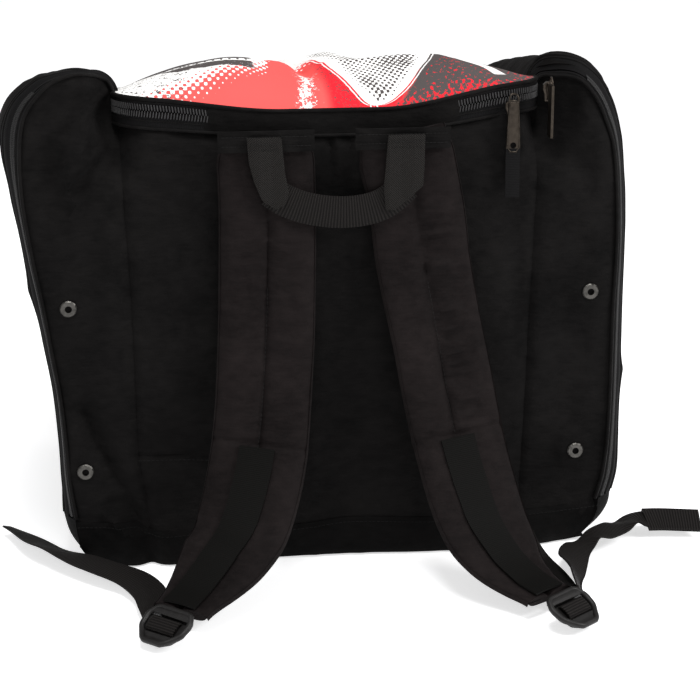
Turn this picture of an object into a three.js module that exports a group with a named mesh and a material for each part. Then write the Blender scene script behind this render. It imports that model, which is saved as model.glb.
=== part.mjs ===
// Ski boot backpack: two round-topped boot compartments either side of a helmet compartment.
// Millimetres, +Z up, origin under the middle of the base, harness side facing -Y.
import * as THREE from 'three';
import { mergeVertices } from 'three/addons/utils/BufferGeometryUtils.js';

// ---- driving dimensions -------------------------------------------------------------------
const BACK_Y = -155; // outer face of the harness side
const FRONT_Y = 155; // outer face of the far side
const GAP = 0.4; // clearance between neighbouring pieces

const BASE_HALF = 185; // flat part of the base, each side of the middle
const CORNER_X = 222; // outer side where the base corner ends
const CORNER_Z = 36;
const BASE_THICK = 4;
const WRAP_Z = 33; // height to which the base cloth wraps up the faces

const PANEL_THICK = 8; // padded centre panels
const CLOTH_THICK = 4; // boot compartment faces, cloth with a foam backing
const TRAY_Y = 146; // base, dividers and inner pieces end here
const SEAM_X = 160; // seam between the centre and the boot compartments
const RIM_Z = 341; // top of the centre panels
const HINGE_Z = 367.6; // fold line of the lid

const DOOR_Y = 141; // half length of a boot door
const DOOR_THICK = 5;
const EAR = [[170, 357], [176, 375], [192, 392], [213, 390], [233, 365], [244, 325], [244, 277], [237, 207],
  [229, 115], [CORNER_X, CORNER_Z + 1.2]]; // outline of the right door from its inner end down

const LID_HALF = 156;
const LID_REAR_Y = -148;
const LID_FRONT_Y = 152;
const LID_CROWN = 14;
const LID_EDGE = 6;
const ZIP_BAND = 12.6; // height of each zip tape around the lid
const HINGE_HALF = 93; // plain hinge strip between the two ends of the lid zip

const EYELET_PLACES = [[205, 212], [197, 79]]; // across and up, mirrored
const EYELET_HOLE = 2.75;
const EYELET_FLANGE = 6.6;

const STRAP_THICK = 11;
const STRAP_FOLD_Z = 264; // the strap bends here when it is pulled away from the back
const WEBBING = 25;
const SEWN_WEBBING = 31; // wider webbing sewn along the lower part of each strap
const WEBBING_THICK = 1.6;

const LOCK = { width: 40, length: 32, thick: 6, slotWidth: 29, slotLength: 3.8 };
const PULL = { width: 11, length: 40, thick: 2, hole: 2.4 };
const PULL_TOP = HINGE_Z - 1.6; // where the rear lid pull hangs from
const SIDE_PULL_TOP = HINGE_Z + 11; // the zip rises as it turns the corner

// ---- outer faces of the shoulder straps, from the top down to the floor --------------------
const STRAP_PATHS = {
  left: [[-53, -171, 345], [-52, -173, 296], [-53, -175, 245], [-56, -184, 182], [-64, -203, 112],
    [-80, -231, 63], [-97, -250, 43], [-117, -271, 26], [-131, -290, 20]],
  right: [[51, -171, 345], [62, -173, 294], [69, -175, 245], [81, -184, 182], [94, -203, 110],
    [106, -232, 61], [120, -256, 35], [134, -275, 22], [146, -293, 18]],
};
const LOCK_PLACES = {
  left: { centre: [-143, -311, 14], heading: [-0.53, -0.85] },
  right: { centre: [158, -319, 14], heading: [0.48, -0.88] },
};
const LOCK_SLOPE = Math.PI / 6; // each lock leans down and away from the end of its strap
const ANCHOR_PATHS = {
  left: [[-114, -160.4, 16], [-115, -172, 10], [-118, -197, 3], [-126, -230, 2.4], [-132, -254, 2.4]],
  right: [[150, -160.4, 16], [152, -172, 10], [157, -197, 3], [163, -230, 2.4], [164, -254, 2.4]],
};
const TAIL_PATHS = {
  left: [[-158, -262, 9], [-158, -237, 10], [-168, -215, 12], [-188, -196, 13], [-211, -171, 13],
    [-232, -145, 12], [-251, -118, 11], [-269, -90, 9]],
  right: [[183, -264, 9], [182, -237, 10], [188, -209, 12], [200, -189, 13], [216, -175, 13],
    [234, -162, 13], [254, -149, 13], [276, -148, 12], [306, -153, 11]],
};

// ---- materials ----------------------------------------------------------------------------
function finish(color, roughness, metalness = 0) {
  return new THREE.MeshStandardMaterial({ color, roughness, metalness });
}
const blackCloth = finish(0x1c1b1b, 0.85);
const strapCloth = finish(0x211e20, 0.8);
const webbingCloth = finish(0x191819, 0.75);
const printCloth = finish(0xe4483f, 0.6);
const zipCoil = finish(0x141414, 0.5);
const blackPlastic = finish(0x18171a, 0.4);
const darkMetal = finish(0x3a332c, 0.35, 1);
const nickel = finish(0x6a6864, 0.3, 1);

// ---- shared geometry helpers ----------------------------------------------------------------
const bag = new THREE.Group();

function signedVolume(geometry) {
  const at = geometry.attributes.position;
  const index = geometry.index;
  const corner = (k) => new THREE.Vector3().fromBufferAttribute(at, index.getX(k));
  let total = 0;
  for (let k = 0; k < index.count; k += 3) {
    total += corner(k).dot(corner(k + 1).cross(corner(k + 2))) / 6;
  }
  return total;
}

// One closed body with merged corners and its faces pointing out.
function solid(source) {
  source.deleteAttribute('normal');
  source.deleteAttribute('uv');
  const geometry = mergeVertices(source, 1e-3);
  if (signedVolume(geometry) < 0) {
    const flipped = Array.from(geometry.index.array);
    for (let k = 0; k < flipped.length; k += 3) {
      [flipped[k], flipped[k + 1]] = [flipped[k + 1], flipped[k]];
    }
    geometry.setIndex(flipped);
  }
  geometry.computeVertexNormals();
  return geometry;
}

function add(name, geometry, material) {
  const mesh = new THREE.Mesh(solid(geometry), material);
  mesh.name = name;
  bag.add(mesh);
  return mesh;
}

function outline(points, holes = []) {
  const corners = points.map(([a, b]) => new THREE.Vector2(a, b));
  if (THREE.ShapeUtils.isClockWise(corners)) {
    corners.reverse();
  }
  const shape = new THREE.Shape(corners);
  for (const [a, b, radius] of holes) {
    const circle = new THREE.EllipseCurve(a, b, radius, radius, 0, Math.PI * 2, true);
    shape.holes.push(new THREE.Path(circle.getPoints(16).slice(0, -1)));
  }
  return shape;
}

function extruded(shape, depth) {
  return new THREE.ExtrudeGeometry(shape, { depth, bevelEnabled: false, curveSegments: 8 });
}

// An outline drawn in X and Z, with its thickness along Y.
function plate(shape, fromY, toY) {
  return extruded(shape, toY - fromY).rotateX(Math.PI / 2).translate(0, toY, 0);
}

// An outline drawn in X and Y, with its thickness along Z.
function slab(shape, fromZ, toZ) {
  return extruded(shape, toZ - fromZ).translate(0, 0, fromZ);
}

function block(low, high) {
  const size = high.map((value, axis) => value - low[axis]);
  const middle = high.map((value, axis) => (value + low[axis]) / 2);
  return new THREE.BoxGeometry(...size).translate(...middle);
}

// Moves a line of points sideways by a distance, towards a point inside the bag.
function inset(points, distance, inside) {
  return points.map((point, k) => {
    const before = points[Math.max(k - 1, 0)];
    const after = points[Math.min(k + 1, points.length - 1)];
    const along = new THREE.Vector2(after[0] - before[0], after[1] - before[1]).normalize();
    const normal = new THREE.Vector2(-along.y, along.x);
    const inward = new THREE.Vector2(inside[0] - point[0], inside[1] - point[1]);
    const side = Math.sign(normal.dot(inward));
    return [point[0] + normal.x * side * distance, point[1] + normal.y * side * distance];
  });
}

function band(points, near, far, inside) {
  return outline([...inset(points, near, inside), ...inset(points, far, inside).reverse()]);
}

function mirrored(points, side) {
  return points.map(([x, z]) => [x * side, z]);
}

// A flat strip along a path that lies on its outer face. The strip's width starts across the
// bag and turns with the path as it lies down; upright strips stand on their edge instead, and
// a lifted strip lies that far outside the path. A loose strip lies flat all along.
function ribbon(path, { width, thickness, steps, upright = 0, lift = 0, loose = false }) {
  const curve = new THREE.CatmullRomCurve3(path.map((p) => new THREE.Vector3(...p)), false, 'centripetal');
  const geometry = new THREE.BoxGeometry(1, 1, 1, 1, 1, steps);
  const at = geometry.attributes.position;
  for (let k = 0; k < at.count; k += 1) {
    const t = at.getZ(k) + 0.5;
    const along = curve.getTangentAt(t);
    const lying = loose ? 1 : Math.max(-along.y, 0);
    const turned = new THREE.Vector3(-along.y, along.x, 0).normalize();
    const across = new THREE.Vector3(1 - lying, 0, 0).addScaledVector(turned, lying).normalize();
    across.multiplyScalar(1 - upright).addScaledVector(new THREE.Vector3(0, 0, 1), upright);
    across.addScaledVector(along, -across.dot(along)).normalize();
    const inward = new THREE.Vector3().crossVectors(across, along);
    const point = curve.getPointAt(t);
    point.addScaledVector(across, at.getX(k) * (typeof width === 'function' ? width(t) : width));
    point.addScaledVector(inward, (at.getY(k) + 0.5) * thickness - lift);
    at.setXYZ(k, point.x, point.y, point.z);
  }
  return geometry;
}

// ---- outlines of the compartments -----------------------------------------------------------
function earLine(side) {
  const curve = new THREE.SplineCurve(EAR.map(([x, z]) => new THREE.Vector2(x, z)));
  return mirrored(curve.getPoints(27).map((p) => [p.x, p.y]), side);
}

function cornerLine(side) {
  const points = [];
  for (let k = 0; k <= 5; k += 1) {
    const angle = (k / 5) * (Math.PI / 2);
    points.push([
      BASE_HALF + (CORNER_X - BASE_HALF) * Math.cos(angle),
      CORNER_Z * (1 - Math.sin(angle)),
    ]);
  }
  return mirrored(points, side);
}

function sideInside(side) {
  return [198 * side, 220];
}

// ---- base and faces -------------------------------------------------------------------------
function addBase() {
  const around = [...cornerLine(1), ...cornerLine(-1).reverse()];
  add('base_panel', plate(band(around, 0, BASE_THICK, [0, 500]), -TRAY_Y, TRAY_Y), blackCloth);
  const rise = 1 - WRAP_Z / CORNER_Z; // sine of the corner's angle at the top of the wrap
  const edge = [BASE_HALF + (CORNER_X - BASE_HALF) * Math.sqrt(1 - rise * rise), WRAP_Z];
  const low = (side) => [...mirrored([edge], side), ...cornerLine(side).filter(([, z]) => z < WRAP_Z)];
  const wrap = outline([...low(1), ...low(-1).reverse()]);
  add('base_wrap_rear', plate(wrap, BACK_Y - GAP - 1.6, BACK_Y - GAP), blackCloth);
  add('base_wrap_front', plate(wrap, FRONT_Y + GAP, FRONT_Y + GAP + 1.6), blackCloth);
}

function addCentrePanels() {
  const centre = outline([[-SEAM_X, 0], [SEAM_X, 0], [SEAM_X, RIM_Z], [-SEAM_X, RIM_Z]]);
  add('back_panel', plate(centre, BACK_Y, BACK_Y + PANEL_THICK), blackCloth);
  add('front_panel', plate(centre, FRONT_Y - PANEL_THICK, FRONT_Y), printCloth);
}

function addBootFaces(side, label) {
  const seam = SEAM_X + GAP;
  const beside = LID_HALF + 7; // clears the zip tape around the lid
  const inner = [[seam, 0], [seam, RIM_Z], [beside, RIM_Z], [beside, EAR[0][1]]];
  const edge = [...earLine(side), ...cornerLine(side), ...mirrored(inner, side)];
  const holes = EYELET_PLACES.map(([x, z]) => [x * side, z, EYELET_HOLE + 1.1]);
  add(`boot_back_panel_${label}`, plate(outline(edge, holes), BACK_Y, BACK_Y + CLOTH_THICK), blackCloth);
  add(`boot_front_panel_${label}`, plate(outline(edge), FRONT_Y - CLOTH_THICK, FRONT_Y), blackCloth);
}

// The divider leans in towards the base, which gives the boot room for its sole.
function addDivider(side, label) {
  const lean = [[120, 4.6], [123, 4.6], [SEAM_X, RIM_Z], [SEAM_X - 3, RIM_Z]];
  add(`divider_${label}`, plate(outline(mirrored(lean, side)), -TRAY_Y, TRAY_Y), blackCloth);
}

// ---- boot doors and their zips --------------------------------------------------------------
function addDoor(side, label) {
  const line = earLine(side);
  const inside = sideInside(side);
  add(`boot_door_${label}`, plate(band(line, 0, DOOR_THICK, inside), -DOOR_Y, DOOR_Y), blackCloth);
  const doorTape = band(line, DOOR_THICK + GAP, DOOR_THICK + GAP + 1.4, inside);
  const frameTape = band(line, GAP, GAP + 1.8, inside);
  const faces = [['rear', -1], ['front', 1]];
  for (const [face, sign] of faces) {
    const doorEdge = [sign * (DOOR_Y - 8), sign * DOOR_Y].sort((a, b) => a - b);
    const frameEdge = [sign * (DOOR_Y + 1), sign * (DOOR_Y + 9)].sort((a, b) => a - b);
    add(`door_zip_tape_${label}_${face}`, plate(doorTape, ...doorEdge), zipCoil);
    add(`frame_zip_tape_${label}_${face}`, plate(frameTape, ...frameEdge), zipCoil);
  }
  const inner = [[170.5, RIM_Z], [172, RIM_Z], [172, RIM_Z + 11], [170.5, RIM_Z + 11]];
  add(`frame_zip_tape_${label}_top`, plate(outline(mirrored(inner, side)), -DOOR_Y, DOOR_Y), zipCoil);
}

// ---- lid and the zip around it ----------------------------------------------------------------
function addLid() {
  const geometry = new THREE.BoxGeometry(LID_HALF * 2, LID_FRONT_Y - LID_REAR_Y, 1, 14, 12, 1);
  const at = geometry.attributes.position;
  const halfLength = (LID_FRONT_Y - LID_REAR_Y) / 2;
  for (let k = 0; k < at.count; k += 1) {
    const u = at.getX(k) / LID_HALF;
    const v = at.getY(k) / halfLength;
    const crown = LID_EDGE + LID_CROWN * (1 - u ** 4) * (1 - v ** 4);
    at.setZ(k, HINGE_Z + GAP + (at.getZ(k) > 0 ? crown : 0));
  }
  add('lid', geometry.translate(0, (LID_FRONT_Y + LID_REAR_Y) / 2, 0), printCloth);

  const upper = outline(zipLoop(LID_REAR_Y + 8, false));
  const lower = outline(zipLoop(BACK_Y, true));
  add('lid_zip_tape_upper', slab(upper, RIM_Z + ZIP_BAND + 2 * GAP, HINGE_Z - GAP), zipCoil);
  add('lid_zip_tape_lower', slab(lower, RIM_Z + GAP, RIM_Z + GAP + ZIP_BAND), zipCoil);
  const strip = [[-HINGE_HALF, RIM_Z + GAP], [HINGE_HALF, RIM_Z + GAP], [HINGE_HALF, HINGE_Z], [-HINGE_HALF, HINGE_Z]];
  add('lid_hinge_strip', plate(outline(strip), BACK_Y, BACK_Y + CLOTH_THICK), blackCloth);
}

// Plan of a zip tape: along both sides and the front, with hooked ends along the rear if asked.
function zipLoop(endY, hooked) {
  const out = LID_HALF + 6;
  const inner = out - 4.5;
  const front = LID_FRONT_Y;
  const hook = HINGE_HALF + 2;
  const half = hooked
    ? [[inner, endY + 4], [hook, endY + 4], [hook, endY], [out, endY]]
    : [[inner, endY], [out, endY]];
  const right = [[inner, front - 4.5], ...half, [out, front]];
  return [...right, ...mirrored(right, -1).reverse()];
}

// ---- sliders and pulls ------------------------------------------------------------------------
function pullShape(x, topZ, length, hole) {
  const half = PULL.width / 2;
  const points = [[x - half * 0.7, topZ], [x + half * 0.7, topZ], [x + half, topZ - length + 4],
    [x + half - 3, topZ - length], [x - half + 3, topZ - length], [x - half, topZ - length + 4]];
  return outline(points, hole ? [[x, topZ - length + 6, PULL.hole]] : []);
}

function addLidSliders() {
  const rearX = 138;
  const face = BACK_Y - GAP;
  const bridge = block([rearX - 5.5, face - 5, PULL_TOP - 15], [rearX + 5.5, face, PULL_TOP]);
  add('lid_slider_rear', bridge, darkMetal);
  const pullY = face - 5 - GAP;
  add('lid_pull_rear', plate(pullShape(rearX, PULL_TOP, PULL.length, true), pullY - PULL.thick, pullY), darkMetal);
  const tabTop = PULL_TOP - PULL.length - GAP;
  const tab = block([rearX - 5.5, pullY - PULL.thick, tabTop - 34], [rearX + 5.5, pullY, tabTop]);
  add('lid_pull_tab', tab, webbingCloth);

  const cornerX = 165.6; // turned edge-on, where the zip starts around the corner
  const corner = block([cornerX - 3, face - 6, SIDE_PULL_TOP - 14], [cornerX + 3, face, SIDE_PULL_TOP + 1]);
  add('lid_slider_side', corner, darkMetal);
  const sideY = face - 6 - GAP;
  const low = [cornerX - PULL.thick / 2, sideY - PULL.width, SIDE_PULL_TOP - PULL.length];
  add('lid_pull_side', block(low, [cornerX + PULL.thick / 2, sideY, SIDE_PULL_TOP]), darkMetal);
}

function addDoorSlider(side, label) {
  const x = 214 * side;
  const face = FRONT_Y + GAP;
  add(`door_slider_${label}`, block([x - 5.5, face, 46], [x + 5.5, face + 5, 64]), darkMetal);
  const pullY = face + 5 + GAP;
  add(`door_pull_${label}`, plate(pullShape(x, 62, 36, true), pullY, pullY + PULL.thick), darkMetal);
}

// ---- eyelets ------------------------------------------------------------------------------------
function ring(profile, x, z) {
  const closed = [...profile, profile[0]].map(([r, y]) => new THREE.Vector2(r, y));
  return new THREE.LatheGeometry(closed, 18).translate(x, 0, z);
}

function addEyelets(side, label) {
  EYELET_PLACES.forEach(([x, z], k) => {
    const row = k === 0 ? 'upper' : 'lower';
    const face = BACK_Y - GAP;
    const barrel = EYELET_HOLE + 0.7;
    const inner = BACK_Y + CLOTH_THICK;
    const eyelet = [[EYELET_HOLE, face - 1.6], [EYELET_FLANGE - 0.8, face - 1.6], [EYELET_FLANGE, face - 0.8],
      [EYELET_FLANGE, face], [barrel, face], [barrel, inner + 1.8], [EYELET_HOLE, inner + 1.8]];
    add(`eyelet_${label}_${row}`, ring(eyelet, x * side, z), nickel);
    const washer = [[barrel + 0.3, inner + 0.4], [EYELET_FLANGE, inner + 0.4], [EYELET_FLANGE, inner + 1.2],
      [barrel + 0.3, inner + 1.2]];
    add(`eyelet_washer_${label}_${row}`, ring(washer, x * side, z), nickel);
  });
}

// ---- harness --------------------------------------------------------------------------------------
function strapWidth(t) {
  return 75 - 27 * THREE.MathUtils.smoothstep(t, 0.82, 1);
}

function splitPath(path) {
  const curve = new THREE.CatmullRomCurve3(path.map((p) => new THREE.Vector3(...p)), false, 'centripetal');
  const points = curve.getSpacedPoints(120).map((p) => p.toArray());
  const upper = points.filter(([, , z]) => z > STRAP_FOLD_Z + 0.8);
  const lower = points.filter(([, , z]) => z < STRAP_FOLD_Z - 0.8);
  const share = upper.length / points.length;
  return { upper, lower, share };
}

function addStrap(label) {
  const path = STRAP_PATHS[label];
  const { upper, lower, share } = splitPath(path);
  const head = { width: strapWidth(0), thickness: STRAP_THICK, steps: 4 };
  add(`strap_head_${label}`, ribbon(upper, head), strapCloth);
  const width = (t) => strapWidth(share + t * (1 - share));
  add(`shoulder_strap_${label}`, ribbon(lower, { width, thickness: STRAP_THICK - 2, steps: 22 }), strapCloth);
  const sewn = { width: SEWN_WEBBING, thickness: WEBBING_THICK, steps: 14, lift: WEBBING_THICK + 2 };
  add(`strap_webbing_${label}`, ribbon(lower.slice(-56), sewn), webbingCloth);
  const x = path[0][0];
  add(`strap_tab_${label}`, block([x - 36, -174.8, RIM_Z - 6], [x + 36, -173, RIM_Z + 8]), blackCloth);
}

function addLock(label) {
  const { centre, heading } = LOCK_PLACES[label];
  const halfWidth = LOCK.width / 2;
  const halfLength = LOCK.length / 2;
  const frame = outline([[-halfWidth, -halfLength], [halfWidth, -halfLength], [halfWidth, halfLength],
    [-halfWidth, halfLength]]);
  for (const y of [-8, 8]) {
    const w = LOCK.slotWidth / 2;
    const l = LOCK.slotLength / 2;
    const slot = new THREE.Path([[-w, y - l], [-w, y + l], [w, y + l], [w, y - l]]
      .map(([a, b]) => new THREE.Vector2(a, b)));
    frame.holes.push(slot);
  }
  const turn = Math.atan2(heading[0], -heading[1]);
  const geometry = slab(frame, -LOCK.thick / 2, LOCK.thick / 2).rotateX(LOCK_SLOPE).rotateZ(turn);
  geometry.translate(...centre);
  add(`ladder_lock_${label}`, geometry, blackPlastic);
}

function addWebbing(label) {
  const anchor = { width: WEBBING, thickness: WEBBING_THICK, steps: 12 };
  add(`anchor_webbing_${label}`, ribbon(ANCHOR_PATHS[label], anchor), webbingCloth);
  const tail = { width: WEBBING, thickness: WEBBING_THICK, steps: 20, upright: 0.3, loose: true };
  add(`webbing_tail_${label}`, ribbon(TAIL_PATHS[label], tail), webbingCloth);
}

// The grab handle: a loop of webbing that hangs in front of the strap heads.
function addHandle() {
  const outer = [[-68, 345], [-66, 319], [-52, 293], [-28, 276], [0, 272]];
  const inner = [[-40, 345], [-38, 323], [-26, 305], [0, 299]];
  const far = (points) => mirrored(points, -1).reverse().slice(1);
  const loop = [...outer, ...far(outer), ...inner.map(([x, z]) => [-x, z]), ...far(inner.map(([x, z]) => [-x, z]))];
  add('grab_handle', plate(outline(loop), -178, -175.4), webbingCloth);
}

// ---- assembly ---------------------------------------------------------------------------------------
addBase();
addCentrePanels();
addLid();
addLidSliders();
addHandle();
for (const [side, label] of [[-1, 'left'], [1, 'right']]) {
  addBootFaces(side, label);
  addDivider(side, label);
  addDoor(side, label);
  addDoorSlider(side, label);
  addEyelets(side, label);
  addStrap(label);
  addLock(label);
  addWebbing(label);
}

export default bag;
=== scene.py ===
import math

import bmesh
import bpy
import numpy as np
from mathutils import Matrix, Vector
from mathutils.geometry import delaunay_2d_cdt


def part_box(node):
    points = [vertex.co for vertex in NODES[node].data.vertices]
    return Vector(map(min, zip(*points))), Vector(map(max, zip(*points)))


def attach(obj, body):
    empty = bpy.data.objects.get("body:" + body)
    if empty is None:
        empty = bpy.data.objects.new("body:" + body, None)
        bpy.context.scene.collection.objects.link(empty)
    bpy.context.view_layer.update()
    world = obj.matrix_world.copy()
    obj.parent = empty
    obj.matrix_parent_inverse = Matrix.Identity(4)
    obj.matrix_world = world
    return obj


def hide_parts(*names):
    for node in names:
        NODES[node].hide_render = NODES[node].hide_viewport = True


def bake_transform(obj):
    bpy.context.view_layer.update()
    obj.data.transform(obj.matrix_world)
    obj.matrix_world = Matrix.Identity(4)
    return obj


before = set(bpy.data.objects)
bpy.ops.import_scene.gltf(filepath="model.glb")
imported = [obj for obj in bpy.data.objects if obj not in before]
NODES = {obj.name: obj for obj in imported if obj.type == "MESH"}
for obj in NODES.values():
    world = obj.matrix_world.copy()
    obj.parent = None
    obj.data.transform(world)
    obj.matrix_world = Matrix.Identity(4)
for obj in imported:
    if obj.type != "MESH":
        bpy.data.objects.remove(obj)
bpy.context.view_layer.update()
MM = 0.001

# Sizes below are millimetres in the row frame unless a name says otherwise.
REAR_Y = -155.0
FRONT_Y = 155.0
SIDES = {"left": -1, "right": 1}
FACES = {"rear": -1, "front": 1}
TO_REAR, TO_FRONT = (0.0, -1.0, 0.0), (0.0, 1.0, 0.0)


# ---- numbers ----
def smooth(low, high, value):
    t = np.clip((np.asarray(value, float) - low) / (high - low), 0, 1)
    return t * t * (3 - 2 * t)


def hill(value, centre, width):
    return np.exp(-(((np.asarray(value, float) - centre) / width) ** 2))


def join(*parts):
    """Points from their coordinates, which may be arrays or single numbers."""
    return np.stack(np.broadcast_arrays(*parts), -1)


def crowded(count, low=-1):
    """Numbers from low to 1 that crowd towards the ends."""
    return np.sin(np.linspace(low, 1, count) * math.pi / 2)


def lattice(ix, iy, iz, seed):
    mask = 0xFFFFFFFF
    h = (ix * 374761393 + iy * 668265263 + iz * 2147483647 + seed * 974634777) & mask
    h = ((h ^ (h >> 13)) * 1274126177) & mask
    h = ((h ^ (h >> 16)) * 668265263) & mask
    return ((h >> 8) & 0xFFFF) / 32767.5 - 1


def noise(points, size, seed=0):
    """Smooth value noise from -1 to 1 whose features are about size millimetres."""
    q = np.asarray(points, float) / np.asarray(size, float)
    cell = np.floor(q).astype(np.int64)
    f = q - cell
    f = f * f * f * (f * (f * 6 - 15) + 10)
    total = 0
    for corner in np.ndindex(2, 2, 2):
        w = np.where(corner, f, 1 - f).prod(-1)
        total = total + w * lattice(*np.moveaxis(cell + corner, -1, 0), seed)
    return total


def creases(points, size, seed=0):
    """Sharp-crested folds, 0 to 1."""
    return (1 - np.abs(noise(points, size, seed))) ** 2.5


def run_of(line):
    """The distance covered at each point of a line."""
    return np.concatenate([[0], np.cumsum(np.linalg.norm(np.diff(line, axis=0), axis=1))])


def path_length(points):
    return float(np.linalg.norm(np.diff(np.asarray(points, float), axis=0), axis=1).sum())


def even(points, count):
    p = np.asarray(points, float)
    length = run_of(p)
    at = np.linspace(0, length[-1], count)
    return join(*(np.interp(at, length, column) for column in p.T))


def spread(points, count):
    """A Catmull-Rom line through the points, resampled evenly."""
    p = np.asarray(points, float)
    padded = np.vstack([2 * p[0] - p[1], p, 2 * p[-1] - p[-2]])
    t = np.linspace(0, 1, 24, endpoint=False)[:, None]
    fine = []
    for k in range(1, len(padded) - 2):
        a, b, c, d = padded[k - 1:k + 3]
        bend = (2 * a - 5 * b + 4 * c - d) * t ** 2 + (3 * b - a - 3 * c + d) * t ** 3
        fine.append(0.5 * (2 * b + (c - a) * t + bend))
    return even(np.vstack(fine + [p[-1:]]), count)


def sample(rows, share):
    """Rows given at even steps, read at shares from 0 to 1 along them."""
    at = np.asarray(share, float) * (len(rows) - 1)
    return join(*(np.interp(at, np.arange(len(rows)), column) for column in rows.T))


def unit(v):
    v = np.asarray(v, float)
    return v / np.maximum(np.linalg.norm(v, axis=-1, keepdims=True), 1e-9)


def along(points):
    return unit(np.gradient(np.asarray(points, float), axis=0))


def distance_to(points, line):
    """Distance of 2-D points to an open line."""
    p = np.asarray(points, float)[:, None, :]
    a, b = np.asarray(line[:-1], float)[None], np.asarray(line[1:], float)[None]
    d = b - a
    t = np.clip(((p - a) * d).sum(-1) / np.maximum((d * d).sum(-1), 1e-9), 0, 1)
    return np.linalg.norm(p - (a + d * t[..., None]), axis=-1).min(1)


def within(points, loop):
    p = np.asarray(points, float)
    inside = np.zeros(len(p), bool)
    for (x0, y0), (x1, y1) in zip(loop, np.roll(loop, -1, 0)):
        crosses = (y0 > p[:, 1]) != (y1 > p[:, 1])
        with np.errstate(divide="ignore", invalid="ignore"):
            at = (x1 - x0) * (p[:, 1] - y0) / (y1 - y0) + x0
        inside ^= crosses & (p[:, 0] < at)
    return inside


# ---- meshes ----
def make(name, verts, faces, material, uv=None, sharp=40):
    mesh = bpy.data.meshes.new(name)
    mesh.from_pydata((np.asarray(verts, float) * MM).tolist(), [], faces)
    if uv is not None:
        mesh.uv_layers.new(name="length_and_width")
        set_uv(mesh, np.asarray(uv, float) * MM)
    mesh.polygons.foreach_set("use_smooth", [True] * len(mesh.polygons))
    if sharp:
        mesh.set_sharp_from_angle(angle=math.radians(sharp))
    mesh.update()
    obj = bpy.data.objects.new(name, mesh)
    bpy.context.scene.collection.objects.link(obj)
    obj.data.materials.append(material)
    return obj


def set_uv(mesh, uv):
    """Sets the map from one pair of metres per vertex."""
    index = np.zeros(len(mesh.loops), np.int32)
    mesh.loops.foreach_get("vertex_index", index)
    mesh.uv_layers[0].data.foreach_set("uv", uv[index].ravel().astype(np.float32))


def uv_grid(u, v):
    return np.stack(np.meshgrid(u, v, indexing="ij"), -1).reshape(-1, 2)


def grid_faces(rows, cols, closed_rows=False, closed_cols=False):
    faces = []
    for i in range(rows if closed_rows else rows - 1):
        for j in range(cols if closed_cols else cols - 1):
            below, right = ((i + 1) % rows) * cols, (j + 1) % cols
            faces.append((i * cols + j, i * cols + right, below + right, below + j))
    return faces


def second_skin(faces, count):
    """The same faces on a second set of vertices, turned over."""
    return [tuple(k + count for k in f[::-1]) for f in faces]


def shell(name, surface, thickness, material, uv=None, flip=False):
    """A closed sheet: the surface is its outer face, and its thickness lies behind that."""
    rows, cols, _ = surface.shape
    normal = unit(np.cross(np.gradient(surface, axis=0), np.gradient(surface, axis=1))) * (-1 if flip else 1)
    verts = np.vstack([surface.reshape(-1, 3), (surface - normal * thickness).reshape(-1, 3)])
    count = rows * cols
    outer = [f[::-1] if flip else f for f in grid_faces(rows, cols)]
    faces = outer + second_skin(outer, count)
    index = np.arange(count).reshape(rows, cols)
    ring = np.concatenate([index[0], index[1:, -1], index[-1, -2::-1], index[-2:0:-1, 0]]).tolist()
    for a, b in zip(ring, ring[1:] + ring[:1]):
        if flip:
            a, b = b, a
        faces.append((b, a, a + count, b + count))
    if uv is None:
        uv = uv_grid(run_of(surface[:, cols // 2]), run_of(surface[rows // 2]))
    return make(name, verts, faces, material, np.vstack([uv, uv]))


def tube(name, path, radius, material, sides=8, closed=False):
    """A round cord or piping along a path."""
    p = np.asarray(path, float)
    t = unit(np.roll(p, -1, 0) - np.roll(p, 1, 0)) if closed else along(p)
    side = np.cross(t[0], [0, 0, 1])
    if np.linalg.norm(side) < 0.1:
        side = np.cross(t[0], [0, 1, 0])
    a = np.linspace(0, 2 * math.pi, sides, endpoint=False)[:, None]
    rings = []
    for spot, ahead in zip(p, t):
        side = side - ahead * (side @ ahead)
        side = side / np.linalg.norm(side)
        rings.append(spot + (np.cos(a) * side + np.sin(a) * np.cross(ahead, side)) * radius)
    verts = np.vstack(rings)
    faces = [f[::-1] for f in grid_faces(len(p), sides, closed_rows=closed, closed_cols=True)]
    if not closed:
        faces += [tuple(range(sides)), tuple(range(len(verts) - 1, len(verts) - 1 - sides, -1))]
    uv = join(np.repeat(run_of(p), sides), np.tile(np.arange(sides) * 0.7, len(p)))
    return make(name, verts, faces, material, uv, sharp=60)


def bars(name, centres, lengthwise, outward, size, material, bulge=0.0):
    """Many small rounded bars in one mesh: stitches and zip teeth. Size is length, width and height."""
    c, a, n = np.asarray(centres, float), unit(lengthwise), unit(outward)
    n = unit(n - a * (n * a).sum(-1, keepdims=True))
    b = np.cross(n, a)
    length, width, height = size
    ends = ((-0.5, 0.35), (-0.36, 0.9), (0.0, 1.0), (0.36, 0.9), (0.5, 0.35))
    sides = 6
    verts = []
    for share, scale in ends:
        for k in range(sides):
            angle = 2 * math.pi * k / sides
            rise = math.sin(angle) * height / 2 * scale + bulge * (1 - 4 * share * share)
            verts.append(c + a * (share * length) + (b * (math.cos(angle) * width / 2 * scale) + n * rise))
    one = grid_faces(len(ends), sides, closed_cols=True)
    one += [tuple(range(sides - 1, -1, -1)), tuple(range((len(ends) - 1) * sides, len(ends) * sides))]
    step = len(ends) * sides
    faces = [tuple(k + i * step for k in f) for i in range(len(c)) for f in one]
    return make(name, np.stack(verts, axis=1).reshape(-1, 3), faces, material, sharp=0)


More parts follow.
